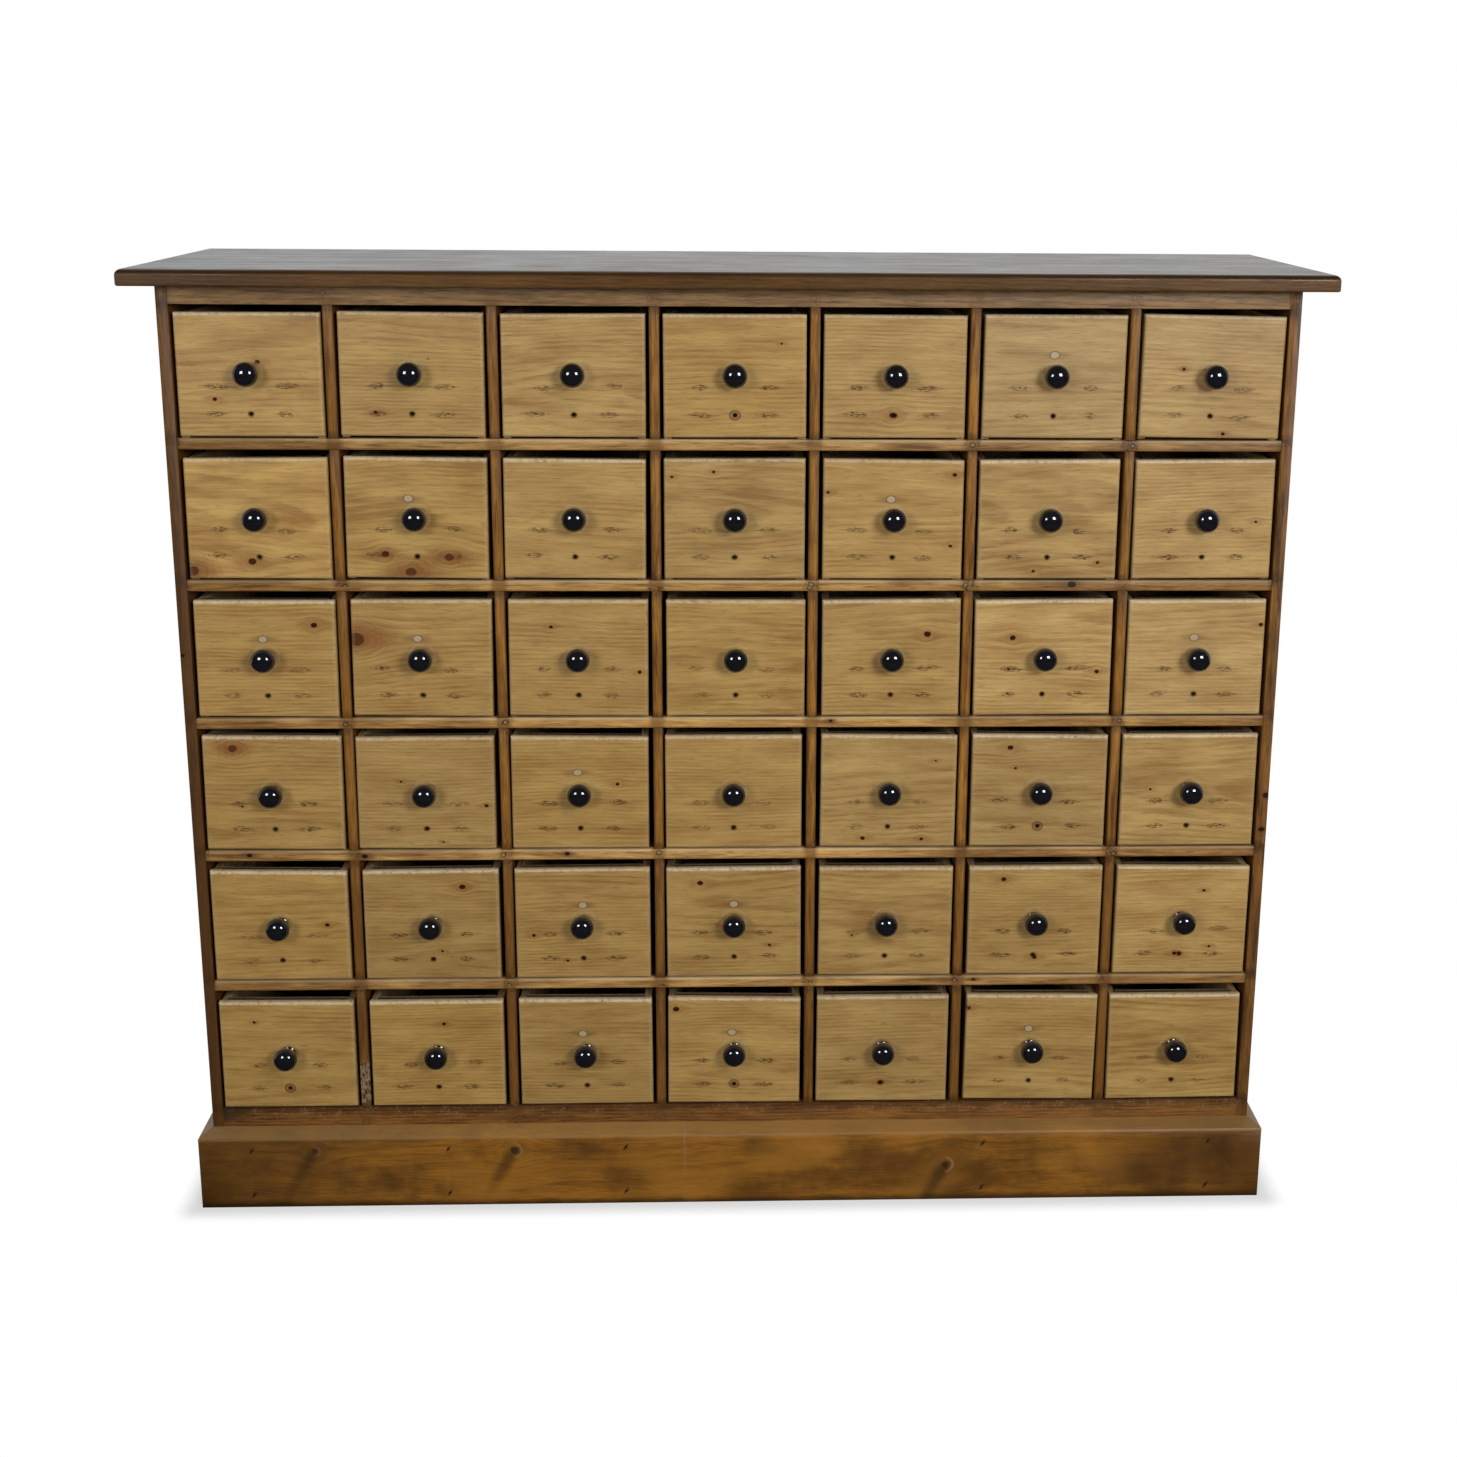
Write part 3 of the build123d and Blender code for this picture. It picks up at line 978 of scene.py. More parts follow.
def crossing_marks(paint, x, z, off_z, wobble, grit, crossings):
    """Darker stain and dirt where dividers butt, and a filled nail hole at chance ones."""
    pitches = x * (1 / PITCH)
    cell, level = x.maths("FLOOR", pitches), x.maths("ROUND", z * 25)
    place = {"Vector": paint.join(cell, level, 3.0)}
    red, green, blue = paint.split(paint.add("ShaderNodeTexWhiteNoise", {}, place, "Color"))
    across = (fraction(pitches) - 0.5) * (PITCH * 1000)
    crossing = rise(abs(across) + wobble * 9, 13.0, 5.0)
    paint.stain(crossing * (0.45 + red * 0.4) * crossings, "crossing")
    dirt = rise(grit, 0.52, 0.62) * rise(abs(across) + wobble * 14, 15.0, 4.0)
    paint.stain(dirt * crossings * blue, "crossing dirt")
    dot = distance(across - (red - 0.5) * 12, off_z - (green - 0.5) * 5) + wobble
    seen = rise(blue, 0.40, 0.44) * crossings
    paint.stain(rise(dot, 2.2, 1.2) * seen * 0.6, "nail filler")
    paint.stain(rise(abs(dot - 2.8), 1.1, 0.3) * seen * 0.8, "nail rim")


def wiped(paint, timber, wobble):
    """The satin of a wiped and waxed stain, with painted shade in the openings behind the face."""
    x, y, _ = paint.object_point()
    back = (y - FACE_Y) * 1000
    # Painted shade: faces behind the carcass's face grow darker, darkest deep in the openings.
    near = rise(back, 2.5, 9.0) * rise(abs(x), 0.6685, 0.664)
    opening_shade = paint.mix(rise(back, 16.0, 80.0), STAINS["opening"], STAINS["deep opening"])
    paint.stain(near * 0.8, opening_shade)
    return paint.finish(
        Roughness=0.45 + timber.streak * 0.24 + wobble * 0.08,
        Specular_IOR_Level=0.15,
        Normal=paint.bump(timber.height(), 1.0 * MM, 0.8),
        Coat_Weight=0.22,
        Coat_Roughness=0.45,
    )


def small_knots(paint, knots, wobble, drawn=0.35):
    """Small dark knots in a board's face, each halo's x times drawn, so it is 1 / drawn long."""
    x, _, z = paint.object_point()
    for knot_x, knot_z, radius in knots:
        du, dw = (x - knot_x) * 1000, (z - knot_z) * 1000
        halo = distance(du, dw, drawn * drawn) + wobble * 2
        paint.stain(rise(halo, radius * 2.2, radius * 0.6) * 0.6, "small halo")
        core = distance(du, dw, 0.5) + wobble * 2
        paint.stain(rise(core, radius * 1.1, radius * 0.7), "small knot")


@functools.cache
def pine_shelf():
    """Light brown stained pine of the shelves, darker at both ends and where dividers butt."""
    half = (SHELF_TOPS[0] - SHELF_UNDERS[0]) * 500
    paint, timber, wobble = stained_member("stained_pine_shelves", "shelf", 1.0, (), ("z", half))
    x, _, z = paint.object_point()
    ends = rise(abs(x + 0.05) + timber.cloud * 1.2, 0.12, 0.55)
    paint.toned(paint.mix(ends, STAINS["shelf middle"], STAINS["shelf ends"]))
    # Painted light: the lower shelves are made brighter, to make up for the lamps' light falling
    # off lower down.
    paint.bright(1 + rise(z, 0.75, 0.58) * 0.14)
    small_knots(paint, SHELF_KNOTS, wobble)
    return wiped(paint, timber, wobble)


@functools.cache
def pine_rail():
    """Duller brown stained pine of the rail under the top board."""
    return wiped(*stained_member("stained_pine_rail", "rail", 0.35))


@functools.cache
def pine_foot_rail():
    """Red-brown stained pine of the rail over the plinth, with an old green-black stain."""
    paint, timber, wobble = stained_member("stained_pine_foot_rail", "foot", 0.7, [GRID_FOOT])
    x, _, z = paint.object_point()
    corner = distance(x + 0.672, z - 0.128, 1.0, 6)
    paint.stain(rise(corner + wobble * 0.03, 0.075, 0.015) * 0.8, "green-black")
    return wiped(paint, timber, wobble)


@functools.cache
def pine_upright():
    """Red-brown stained pine of the dividers, with a worn chip at the foot of the first one."""
    lines = [GRID_TOP, GRID_FOOT, *SHELF_TOPS, *SHELF_UNDERS]
    paint, timber, wobble = stained_member(
        "stained_pine_dividers", "upright", 0.0, lines, ("x", 6.15), 1.0
    )
    x, _, z = point = paint.object_point()
    paint.stain(rise(x, 0.05, -0.65) * 0.35, woods("upright")[1])
    across = abs(x + 2.5 * PITCH) * 1000
    chip = rise(across, 9.0, 5.0) * rise(abs(z - 0.168) + wobble * 0.03, 0.034, 0.022)
    crack = noise(point, (420, 200, 190), 3.0, 0.65)
    paint.stain(chip * rise(crack, 0.47, 0.56), "chip light")
    paint.stain(chip * rise(crack, 0.46, 0.36), "chip dark")
    return wiped(paint, timber, wobble)


@functools.cache
def pine_side():
    """Red-brown stained pine of the two sides, the left one darker, with small knots."""
    lines = [GRID_TOP, GRID_FOOT, *SHELF_TOPS]
    paint, timber, wobble = stained_member("stained_pine_sides", "side", 0.0, lines, None, 0.6)
    x, _, z = paint.object_point()
    low = rise(z + wobble * 0.2, 1.15, 0.80)
    paint.stain(rise(x, 0.2, -0.2) * (0.28 + low * 0.45), woods("side")[1])
    small_knots(paint, SIDE_KNOTS, wobble, 1.0)
    return wiped(paint, timber, wobble)


@functools.cache
def pine_plinth():
    """Orange-brown stained plinth with cloudy dark patches, knots and bruised nail holes, a painted
    highlight on its top lip and painted shade at its foot.
    """
    paint = Paint("stained_pine_plinth")
    x, y, z = point = paint.object_point()
    bends, knots = [], []
    for knot_x, knot_z, radius in PLINTH_KNOTS:
        bend, knot = knot_at((x - knot_x) * 1000, (z - knot_z) * 1000, radius, 6)
        bends.append(bend)
        knots.append(knot)
    timber = Timber(paint, 12.0, 6.2 * MM, bends)
    light, dark = woods("plinth")
    timber.stained(light, dark, 0.16, 0.55, 0.8, 0.3)
    wobble = waver(point, (38, 38, 38), 3.0)
    smoke = noise(point, (5.0, 5.0, 10.0))
    paint.stain(rise(smoke + wobble * 0.3, 0.47, 0.68) * 0.75, dark)
    glow = noise((x * 7.0 + 9, y * 5.0, z * 14.0), detail=1.0)
    paint.stain(rise(glow, 0.48, 0.68) * 0.5, "plinth glow")
    for du, dw, away, radius in knots:
        trail = distance(du - dw * 0.55, dw, 1.4, 0.05)
        cloud = rise(trail + wobble * 12, 20.0, 3.0) * rise(dw, 12.0, -6.0)
        paint.stain(cloud * 0.7, "plinth cloud")
        core = rise(away + wobble * 7, radius * 0.9, radius * 0.4)
        paint.stain(core * 0.8, "plinth knot")
        scar = rise(abs(away + wobble * 8 - radius * 1.3), 2.4, 0.5)
        paint.stain(scar * 0.5 * rise(du, -3.0, 4.0), "plinth scar")
    for side, low, high in ((-1, 0.30, 0.68), (1, 0.42, 0.70)):
        paint.stain(rise(x * side + wobble * 0.25, low, high) * 0.62, "plinth ends")
    sweep = distance(x - 0.60, z - 0.062, 5, 26)
    paint.stain(rise(sweep + wobble * 0.2, 0.30, 0.06) * 0.5, dark)
    seam = rise(abs(x + 0.0647 + wobble * 0.012) * 1000, 2.2, 0.5)
    paint.stain(seam * rise(z, 0.02, 0.06) * 0.4, "plinth seam")
    for nail_x, nail_z in NAILS:
        du, dw = (x - nail_x) * 1000, (z - nail_z) * 1000
        slash = distance(du - dw * 0.6, dw, 1.6, 0.35)
        paint.stain(rise(slash + wobble * 3, 3.6, 1.4) * 0.8, "nail bruise")
    # Painted highlight: the plinth's top lip is paler, as if lit from above.
    paint.stain(rise(z + wobble * 0.004, 0.0925, 0.096) * 0.45, "plinth lip")
    # Painted shade along the plinth's foot, next to the floor.
    paint.stain(rise(z + wobble * 0.012, 0.010, 0.001) * 0.7, "plinth foot")
    return paint.finish(
        Roughness=0.42 + timber.streak * 0.2 + wobble * 0.06,
        Normal=paint.bump(timber.height(), 1.0 * MM, 0.7),
        Coat_Weight=0.25,
        Coat_Roughness=0.40,
        Specular_IOR_Level=0.18,
    )


@functools.cache
def pine_top():
    """Dark stained top board, its upper face polished in streaks and its front edge not, with
    painted shade along its rounded front arris.
    """
    paint = Paint("dark_polished_top")
    timber = Timber(paint, 10.0, 5.2 * MM)
    timber.stained(*woods("top"), 0.35, 1.1, 1.1, 0.5)
    x, y, _ = point = paint.object_point()
    wobble = waver(point, (12, 12, 60), 3.0)
    paint.stain(rise(wobble + timber.streak * 0.6, -0.02, 0.30) * 0.45, "top rubbed")
    paint.stain(rise(x + wobble * 0.1, -0.45, -0.70) * 0.5, "top left end")
    edge = rise(y, -0.186, -0.1895)
    sheen = waver(point, (3.2, 60, 60), 3.0, 0.6)
    paint.stain(edge * 0.45, "top edge")
    wear = paint.attribute("wear", "Fac")
    # Painted shade along the rounded front arris.
    paint.stain(wear * (0.8 + rise(x, 0.1, 0.7) * 0.2), "top arris shade")
    return paint.finish(
        Roughness=0.36 + timber.streak * 0.5 + wobble * 0.2 - wear * 0.10,
        Specular_IOR_Level=0.2,
        Normal=paint.bump(timber.height(), 1.0 * MM, 0.8),
        Coat_Weight=clamp(0.22 + sheen * 1.5) * (1 - edge),
        Coat_Roughness=0.30,
    )


@functools.cache
def pine_raw():
    """Bare dusty pine of the drawer boxes, the back and the blocks."""
    paint = Paint("raw_pine")
    timber = Timber(paint, 8.0)
    timber.stained(*woods("raw"), 0.5, 0.4, 0.5, 0.5)
    grime = noise(paint.object_point(), (9, 9, 9), 4.0, 0.6)
    paint.stain(rise(grime, 0.48, 0.75) * 0.4, "grime")
    return paint.finish(
        Roughness=0.72 + timber.streak * 0.2,
        Normal=paint.bump(timber.height(), 1.2 * MM, 0.8),
    )


@functools.cache
def knob_lacquer():
    """Black gloss lacquer with faint orange peel and handling marks."""
    paint = Paint("black_gloss_lacquer")
    point = paint.object_point()
    peel = noise(point, (900, 900, 900))
    touch = noise(point, (160, 160, 160), 3.0)
    paint.tint = tuple(colours().knob_black)
    paint.stain(touch * 0.5, "handled")
    return paint.finish(
        Roughness=0.05 + touch * 0.06,
        Normal=paint.bump(peel, 0.02 * MM, 0.15),
        Coat_Weight=1.0,
        Coat_Roughness=0.04,
    )


@functools.cache
def nail_finish():
    """Dull, slightly rusted iron."""
    paint = Paint("dull_iron")
    rust = noise(paint.object_point(), (700, 700, 700), 3.0)
    paint.tint = tuple(colours().nail_iron)
    paint.stain(rise(rust, 0.4, 0.7), "rust")
    return paint.finish(
        Metallic=0.6,
        Roughness=0.55 + rust * 0.3,
        Normal=paint.bump(rust, 0.2 * MM, 0.6),
    )


# ---------------------------------------------------------------- drawers

# What each front carries, by row and column. Lengths are millimetres from the middle of the
# front: plug is a filled old hole (across, up), and knots are (across, up, radius), at most
# three. ring is a stained ring round the old screw hole. tone is above nought for a paler
# board, and warm for a yellower one; on the boards at the upper right they also set how
# much of the right lamp's sheen is painted in. figure is how much the grain swirls, above
# one with the pith near the board, and lines is how near the surface lies to the pith.
FRONT_MARKS = {
    (1, 1): {"knots": [(-41, -29, 2.2), (10, 15, 2.8)]},
    (1, 2): {"knots": [(-43, -45, 2.2), (20, 19, 0.8)]},
    (1, 3): {"figure": 1.6},
    (1, 4): {"warm": 0.9, "ring": 1, "knots": [(55, 39, 1.2)]},
    (1, 5): {"knots": [(-2, -46, 3.2)]},
    (1, 6): {"warm": -1.2, "plug": (-1, 26), "lines": 1.8, "tone": -0.6},
    (1, 7): {"knots": [(-35, 9, 1.6), (17, -68, 2.0)], "tone": -0.4},
    (2, 1): {"knots": [(-9, -52, 4.0), (-80, -64, 6.0)], "figure": 1.3, "tone": 0.8},
    (2, 2): {
        "plug": (-9, 24), "knots": [(38, -47, 4.6), (-8, -66, 5.5), (-38, -44, 3.8)],
        "figure": 1.6,
    },
    (2, 3): {},
    (2, 4): {"knots": [(-75, 52, 1.5), (-25, 58, 1.5)], "figure": 1.3, "tone": -0.5},
    (2, 5): {
        "plug": (-3, 25), "knots": [(73, 56, 2.3), (-79, 33, 1.8), (70, -32, 1.8)], "tone": 0.5
    },
    (2, 6): {"knots": [(62, -53, 1.8), (-16, -64, 1.8)], "figure": 1.5},
    (2, 7): {"knots": [(64, -3, 1.6)], "lines": 1.6, "tone": 0.9},
    (3, 1): {"plug": (-3, 25), "knots": [(59, 43, 3.2)], "tone": 0.5},
    (3, 2): {"plug": (-5, 25), "knots": [(-79, 24, 8.5)]},
    (3, 3): {"knots": [(74, -17, 2.2), (-33, 40, 1.8)]},
    (3, 4): {"warm": 0.9, "figure": 1.2},
    (3, 5): {"knots": [(44, 30, 3.6)]},
    (3, 6): {
        "warm": -0.9, "knots": [(-38, 26, 3.0), (67, -18, 2.5), (-42, -14, 1.4)],
        "lines": 1.5, "tone": 2.8,
    },
    (3, 7): {
        "warm": -1.0, "plug": (-3, 26), "knots": [(79, 42, 2.4)], "lines": 1.4, "tone": 1.9
    },
    (4, 1): {"knots": [(-47, 58, 4.5), (-39, -17, 1.2)]},
    (4, 2): {"knots": [(74, -16, 2.0), (-30, 16, 1.4), (20, -64, 1.2)], "lines": 1.5, "tone": -0.3},
    (4, 3): {"plug": (-3, 27), "knots": [(46, 12, 2.0)]},
    (4, 4): {},
    (4, 5): {"knots": [(-31, -62, 2.4), (43, -63, 2.0), (58, 41, 1.4)], "tone": 0.4},
    (4, 6): {"ring": 1, "knots": [(-37, 57, 3.0), (-30, 30, 1.4)]},
    (4, 7): {"knots": [(-48, 2, 1.4)], "figure": 1.2},
    (5, 1): {"knots": [(58, 2, 2.4)]},
    (5, 2): {"knots": [(39, 51, 3.2), (12, -36, 1.4)], "tone": -0.7},
    (5, 3): {"plug": (0, 25), "knots": [(-62, -15, 1.8), (-20, -50, 1.6)]},
    (5, 4): {"plug": (0, 25), "knots": [(-42, 54, 3.2), (45, -31, 1.8)]},
    (5, 5): {"knots": [(-42, -18, 1.2)], "figure": 1.3},
    (5, 6): {"knots": [(-41, 57, 2.8), (2, -50, 2.6)], "lines": 1.4},
    (5, 7): {"knots": [(27, 41, 1.8), (38, -36, 1.6), (-6, -46, 2.6)], "tone": 0.6},
    (6, 1): {"ring": 1, "knots": [(-41, 46, 1.8)]},
    (6, 2): {"warm": 0.6, "knots": [(9, 42, 2.0)]},
    (6, 3): {"plug": (-4, 26), "tone": -0.5},
    (6, 4): {"plug": (-3, 26), "ring": 1, "knots": [(-74, 58, 3.4)]},
    (6, 5): {"knots": [(-2, -47, 2.4)]},
    (6, 6): {"plug": (-3, 27), "knots": [(-82, 56, 2.6)], "lines": 1.4},
    (6, 7): {"figure": 1.4, "lines": 1.4},
}


# How each drawer sits in its opening, by row and column: the shift to the right in
# millimetres, and the turn that leans its top to the right in degrees.
SEATS = (
    ((1, 0.1), (-0.6, 0.5), (-0.5, 0.2), (0.3, -0.1), (-0.1, 0.1), (-0.1, 0.3), (-1.2, 0.6)),
    ((1, 0.3), (-1.6, 0.7), (-2.4, 0.5), (-0.3, 0.1), (0.7, 0.1), (-0.8, 0.1), (-0.9, -0.3)),
    ((0.9, 0.5), (-1.3, 0.7), (-1.2, 0.4), (0.9, 0.1), (1.7, -0.1), (-0.2, -0.4), (-1.5, -0.1)),
    ((0.1, 0.5), (-2.8, 0.4), (-2.2, 0.2), (-1.4, -0.1), (1.2, 0.3), (0.2, 0.1), (-0.8, -0.1)),
    ((0, 0), (-1.4, 0.1), (-1.7, 0), (-0.9, -0.3), (0.4, 0.3), (1, 0.2), (-0.6, 0.2)),
    ((-0.2, 0.1), (-0.5, 0.1), (-0.4, -0.2), (-1.4, 0.3), (-0.6, 0.3), (1.2, 0.7), (-1.1, -0.4)),
)


def drawer_body(row, column):
    """The name of a drawer's body and node."""
    return f"drawer_r{row}_c{column}"


def drawer_origin(row, column):
    """The middle of the front's face, at the foot of its opening."""
    low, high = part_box(drawer_body(row, column))
    return np.array([(low[0] + high[0]) / 2, FACE_Y - PROUD * MM, low[2]])


def each_drawer():
    """Row, column and random numbers of every drawer."""
    for row in range(1, ROWS + 1):
        for column in range(1, COLUMNS + 1):
            yield row, column, np.random.default_rng(100 * row + column)


def drawer_piece(kind, row, column, surface, material, slot):
    """Seats a surface in a drawer's opening and makes it a piece that rides on the drawer."""
    body = drawer_body(row, column)
    surface = seated(surface, row, column)
    return piece(f"{kind}_r{row}_c{column}", body, surface, material, slot, body)


def seated(surface, row, column):
    """The surface of one drawer, placed as SEATS says; a leaning one stands on a corner."""
    shift, lean = SEATS[row - 1][column - 1]
    roll = math.radians(lean)
    spin = np.array(Matrix.Rotation(roll, 3, "Y"))
    lift = abs(math.sin(roll)) * SOLID_HALF * MM
    points = surface.points @ spin.T + drawer_origin(row, column) + [shift * MM, 0, lift]
    normals = None if surface.normals is None else surface.normals @ spin.T
    return Surface(points, normals, surface.faces, dict(surface.marks))


def front_surface(rng):
    """One drawer front over the foot of its opening.

    A family of closed curves runs from the bottom of the old screw hole over its rim, across
    the face to the rounded arris, along the rebated edge and over the back. Each curve is a
    rounded rectangle at a depth; the hole's are circles. The top edge is planed a little
    askew: a point moves up by a share of the slope that grows from nought over the height.
    """
    use = sizes()
    steps = 3
    angles, sign_x, sign_z = quarter_turns(steps)
    plan = np.stack([np.cos(angles), np.sin(angles)], -1)
    signs = np.stack([sign_x, sign_z], -1)
    half = np.array(FRONT_HALF)
    arris = use.front_round / MM
    hole = use.hole_radius / MM
    middle = np.array([0.0, -use.hole_drop / MM])
    curves = []

    def circle(radius, depth, out, face):
        """A circle round the old hole; out and face weigh its normal."""
        curves.append((middle + radius * plan, depth, out * plan, face, 0.0))

    def rectangle(shrink, depth, out, face, wear, sides=0.0):
        """A rounded rectangle inside the front's outline."""
        box = half - shrink - np.array([sides, 0.0])
        place = signs * (box - CORNER) + CORNER * plan
        curves.append((place, depth, out * plan, face, wear))

    circle(0.2, HOLE_DEPTH, -0.2, 1.0)
    circle(hole * 0.8, HOLE_DEPTH - 0.4, -1.0, 0.3)
    circle(hole, 0.9, -1.0, 0.1)
    circle(hole * 1.18, 0.25, -0.7, 0.7)
    circle(hole * 1.5, 0.0, 0.0, 1.0)
    rectangle(arris * 1.5, 0.0, 0.0, 1.0, 0.0)
    for turn in np.linspace(0, math.pi / 2, 5):
        shrink = arris * (1 - math.sin(turn))
        depth = arris * (1 - math.cos(turn))
        wear = math.sin(2 * turn) ** 0.5 if turn else 0.3
        rectangle(shrink, depth, math.sin(turn), math.cos(turn), wear)
    rectangle(0.0, LIP, 1.0, 0.0, 0.0)
    rectangle(0.4, LIP + 0.4, 0.7, -0.7, 0.2, REBATE)
    rectangle(0.4, THICK - 0.4, 1.0, 0.0, 0.0, REBATE)
    rectangle(0.8, THICK, 0.0, -1.0, 0.0, REBATE)
    count = len(angles)
    plans, depths, outs, fronts, wears = map(np.array, zip(*curves))

    def with_depth(plan, depth):
        """Curves in the plane of the front and one depth for each, as a list of points."""
        depth = np.repeat(depth[:, None], count, 1)
        return np.stack([plan[..., 0], depth, plan[..., 1]], -1).reshape(-1, 3)

    points, normals = with_depth(plans, depths), with_depth(outs, -fronts)
    faces = [face[::-1] for face in closed_faces(len(curves), count)]
    planed = rng.uniform(-1.5, 0.1) + points[:, 0] / SOLID_HALF * rng.uniform(-1.1, 1.1)
    share = (points[:, 2] + FRONT_HALF[1]) / (2 * FRONT_HALF[1])
    place = points.copy()
    points[:, 2] += planed * share * (share > 0.3)
    surface = Surface(points * MM + [0, 0, FOOT_GAP * MM + FRONT_HALF[1] * MM], normals, faces)
    return surface.marked(place=place, wear=np.repeat(wears, count))


def front_marks(row, column, surface, rng):
    """Adds to a front where it lay in the log, its tone, knots, plug and pin marks."""
    marks = FRONT_MARKS[row, column]
    figure = marks.get("figure", 0.7)
    along, off_pith = rng.uniform(-4000, 4000), rng.uniform(30, 95) * rng.choice([-1, 1])
    pith = np.array([along, off_pith, 28 / marks.get("lines", 1.0)])
    if figure > 1:
        pith[1] = rng.uniform(-25, 25)
    place = surface.marks["place"]
    knots = (marks.get("knots", []) + [(0, 0, 0)] * 3)[:3]
    plug = marks.get("plug")
    at = plug or (0, 200)
    aside = column - 4
    # Besides the random tone, the row and column terms paint light in: lower rows a little darker
    # as shade, and the outer columns, the right ones most, paler as the lamps' sheen, which also
    # makes the right ones less warm.
    tone = rng.normal(0, 0.6) - 0.05 * (row - 1) + 0.12 * aside + 0.06 * aside**2
    tone = tone * 0.5 + marks.get("tone", 0.0)
    warmth = rng.normal(0, 0.3) - 0.15 * aside + marks.get("warm", 0.3)
    surface.marked(
        grain=place[:, [0, 2, 1]] * [1, 1, 0.8] + pith,
        board=(-tone, warmth, figure),
        knot_a=knots[0],
        knot_b=knots[1],
        knot_c=knots[2],
        marks=(1.0 if plug else 0.0, rng.uniform(0.6, 1.0), rng.uniform(0.6, 1.0)),
        fixings=(at[0], at[1], float(marks.get("ring", 0))),
    )
    return surface


def box_boards():
    """The sides, back and bottom panel of a drawer, taken once from the CAD drawer.

    The loose solids of the node that reach far behind the face are the box; they are moved
    so that the middle of the front's foot is the origin. Returns the points, their boards'
    numbers and the faces.
    """
    mesh = merged(drawer_body(1, 1), "box_pattern")
    number = solid_numbers(mesh)
    points = mesh_numbers(mesh, "vertices", "co", np.float32, 3) - drawer_origin(1, 1)
    deepest = np.full(number.max() + 1, -np.inf)
    np.maximum.at(deepest, number, points[:, 1])
    kept = (deepest > 100 * MM)[number]
    corners = mesh_numbers(mesh, "loops", "vertex_index", np.int32, 1)
    starts = mesh_numbers(mesh, "polygons", "loop_start", np.int32, 1)
    index = np.cumsum(kept) - 1
    faces = [index[face].tolist() for face in np.split(corners, starts[1:]) if kept[face[0]]]
    bpy.data.meshes.remove(mesh)
    return points[kept], np.unique(number[kept], return_inverse=True)[1], faces


def knob_profile(radius, reach):
    """The outline of a knob as (radius, reach): a small base, a neck and a flattened ball.

    The ball is an ellipse with the exponent 2.15, and the neck is a cosine dip to the base.
    """
    base = np.linspace(0, 1, 7)
    stem = radius * (0.43 + 0.17 * np.cos(base * math.pi * 0.75) ** 2 * (1 - base))
    foot = np.stack([stem, base * 0.17 * reach], -1)
    turn = np.linspace(-1.05, math.pi / 2, 22)
    power = 2 / 2.15
    wide = radius * np.abs(np.cos(turn)) ** power
    out = 0.585 * reach + 0.415 * reach * np.sign(np.sin(turn)) * np.abs(np.sin(turn)) ** power
    wide[-1] = radius * 0.01
    start = np.array([[radius * 0.62, 0.0], [radius * 0.62, 0.018 * reach]])
    return np.concatenate([start, foot[1:], np.stack([wide, out], -1)])


# ---------------------------------------------------------------- operators


class MakeTopBoard(bpy.types.Operator):
    """Makes the overhanging top board with its rounded arrises."""

    bl_idname = "cabinet.top_board"
    bl_label = "Top board"

    def execute(self, context):
        low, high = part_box("top_board")
        under = (np.linspace(-math.pi / 2, 0, 5), low[2], UNDER_ROUND, 1)
        over = (np.linspace(0, math.pi / 2, 8), high[2], TOP_ROUND, -1)
        stations = []
        for turns, edge, radius, way in (under, over):
            for turn in turns:
                inset = radius * (1 - math.cos(turn))
                height = edge + way * radius * (1 + way * math.sin(turn))
                stations.append(((inset, inset, inset, 0), height, turn))
        surface = outline_rings((low[0], high[0], low[1], high[1]), TOP_CORNER, stations)
        slope = np.repeat([turn for *_, turn in stations], len(surface.points) // len(stations))
        grain = surface.points / MM + [900, 260, 34]
        surface.marked(grain=grain, board=(0.1, 0.0, 0.9), wear=np.clip(np.sin(2 * slope), 0, 1))
        piece("top_board_polished", CARCASS, surface, pine_top(), "dark_top", "top_board")
        return {"FINISHED"}


class MakeCrossBoards(bpy.types.Operator):
    """Makes the carcass top, the shelves and the bottom board."""

    bl_idname = "cabinet.cross_boards"
    bl_label = "Cross boards"

    def execute(self, context):
        for seed, node in enumerate(["bottom_board", *SHELVES]):
            eased_copy(node, pine_shelf(), "stained_pine", "xzy", 11 + seed)
        eased_copy("carcass_top", pine_rail(), "stained_pine", "xzy", 21)
        return {"FINISHED"}


class MakeUprights(bpy.types.Operator):
    """Makes the two sides and the dividers."""

    bl_idname = "cabinet.uprights"
    bl_label = "Sides and dividers"

    def execute(self, context):
        for seed, node in enumerate(("side_left", "side_right", "dividers")):
            wood = pine_upright() if node == "dividers" else pine_side()
            eased_copy(node, wood, "stained_pine", "zxy", 31 + seed)
        return {"FINISHED"}


class MakePlinth(bpy.types.Operator):
    """Makes the bottom rail, the mitred plinth boards and their nails."""

    bl_idname = "cabinet.plinth"
    bl_label = "Plinth"

    def execute(self, context):
        eased_copy("bottom_rail", pine_foot_rail(), "stained_pine", "xzy", 47)
        boards = (("front", "xzy", 44), ("left", "yzx", 45), ("right", "yzx", 46))
        for side, timber, seed in boards:
            eased_copy("plinth_" + side, pine_plinth(), "stained_pine", timber, seed, PLINTH_EASE)
        low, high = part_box("plinth_nails")
        wide, tall = NAIL_HALF
        nails = []
        for x, z in NAILS:
            start = (x - wide, low[1] + sizes().nail_set, z - tall)
            nails.append(rounded_board(start, (x + wide, high[1], z + tall), 0.5 * MM))
        piece("plinth_nails_iron", CARCASS, nails, nail_finish(), "nail_iron", "plinth_nails")
        return {"FINISHED"}


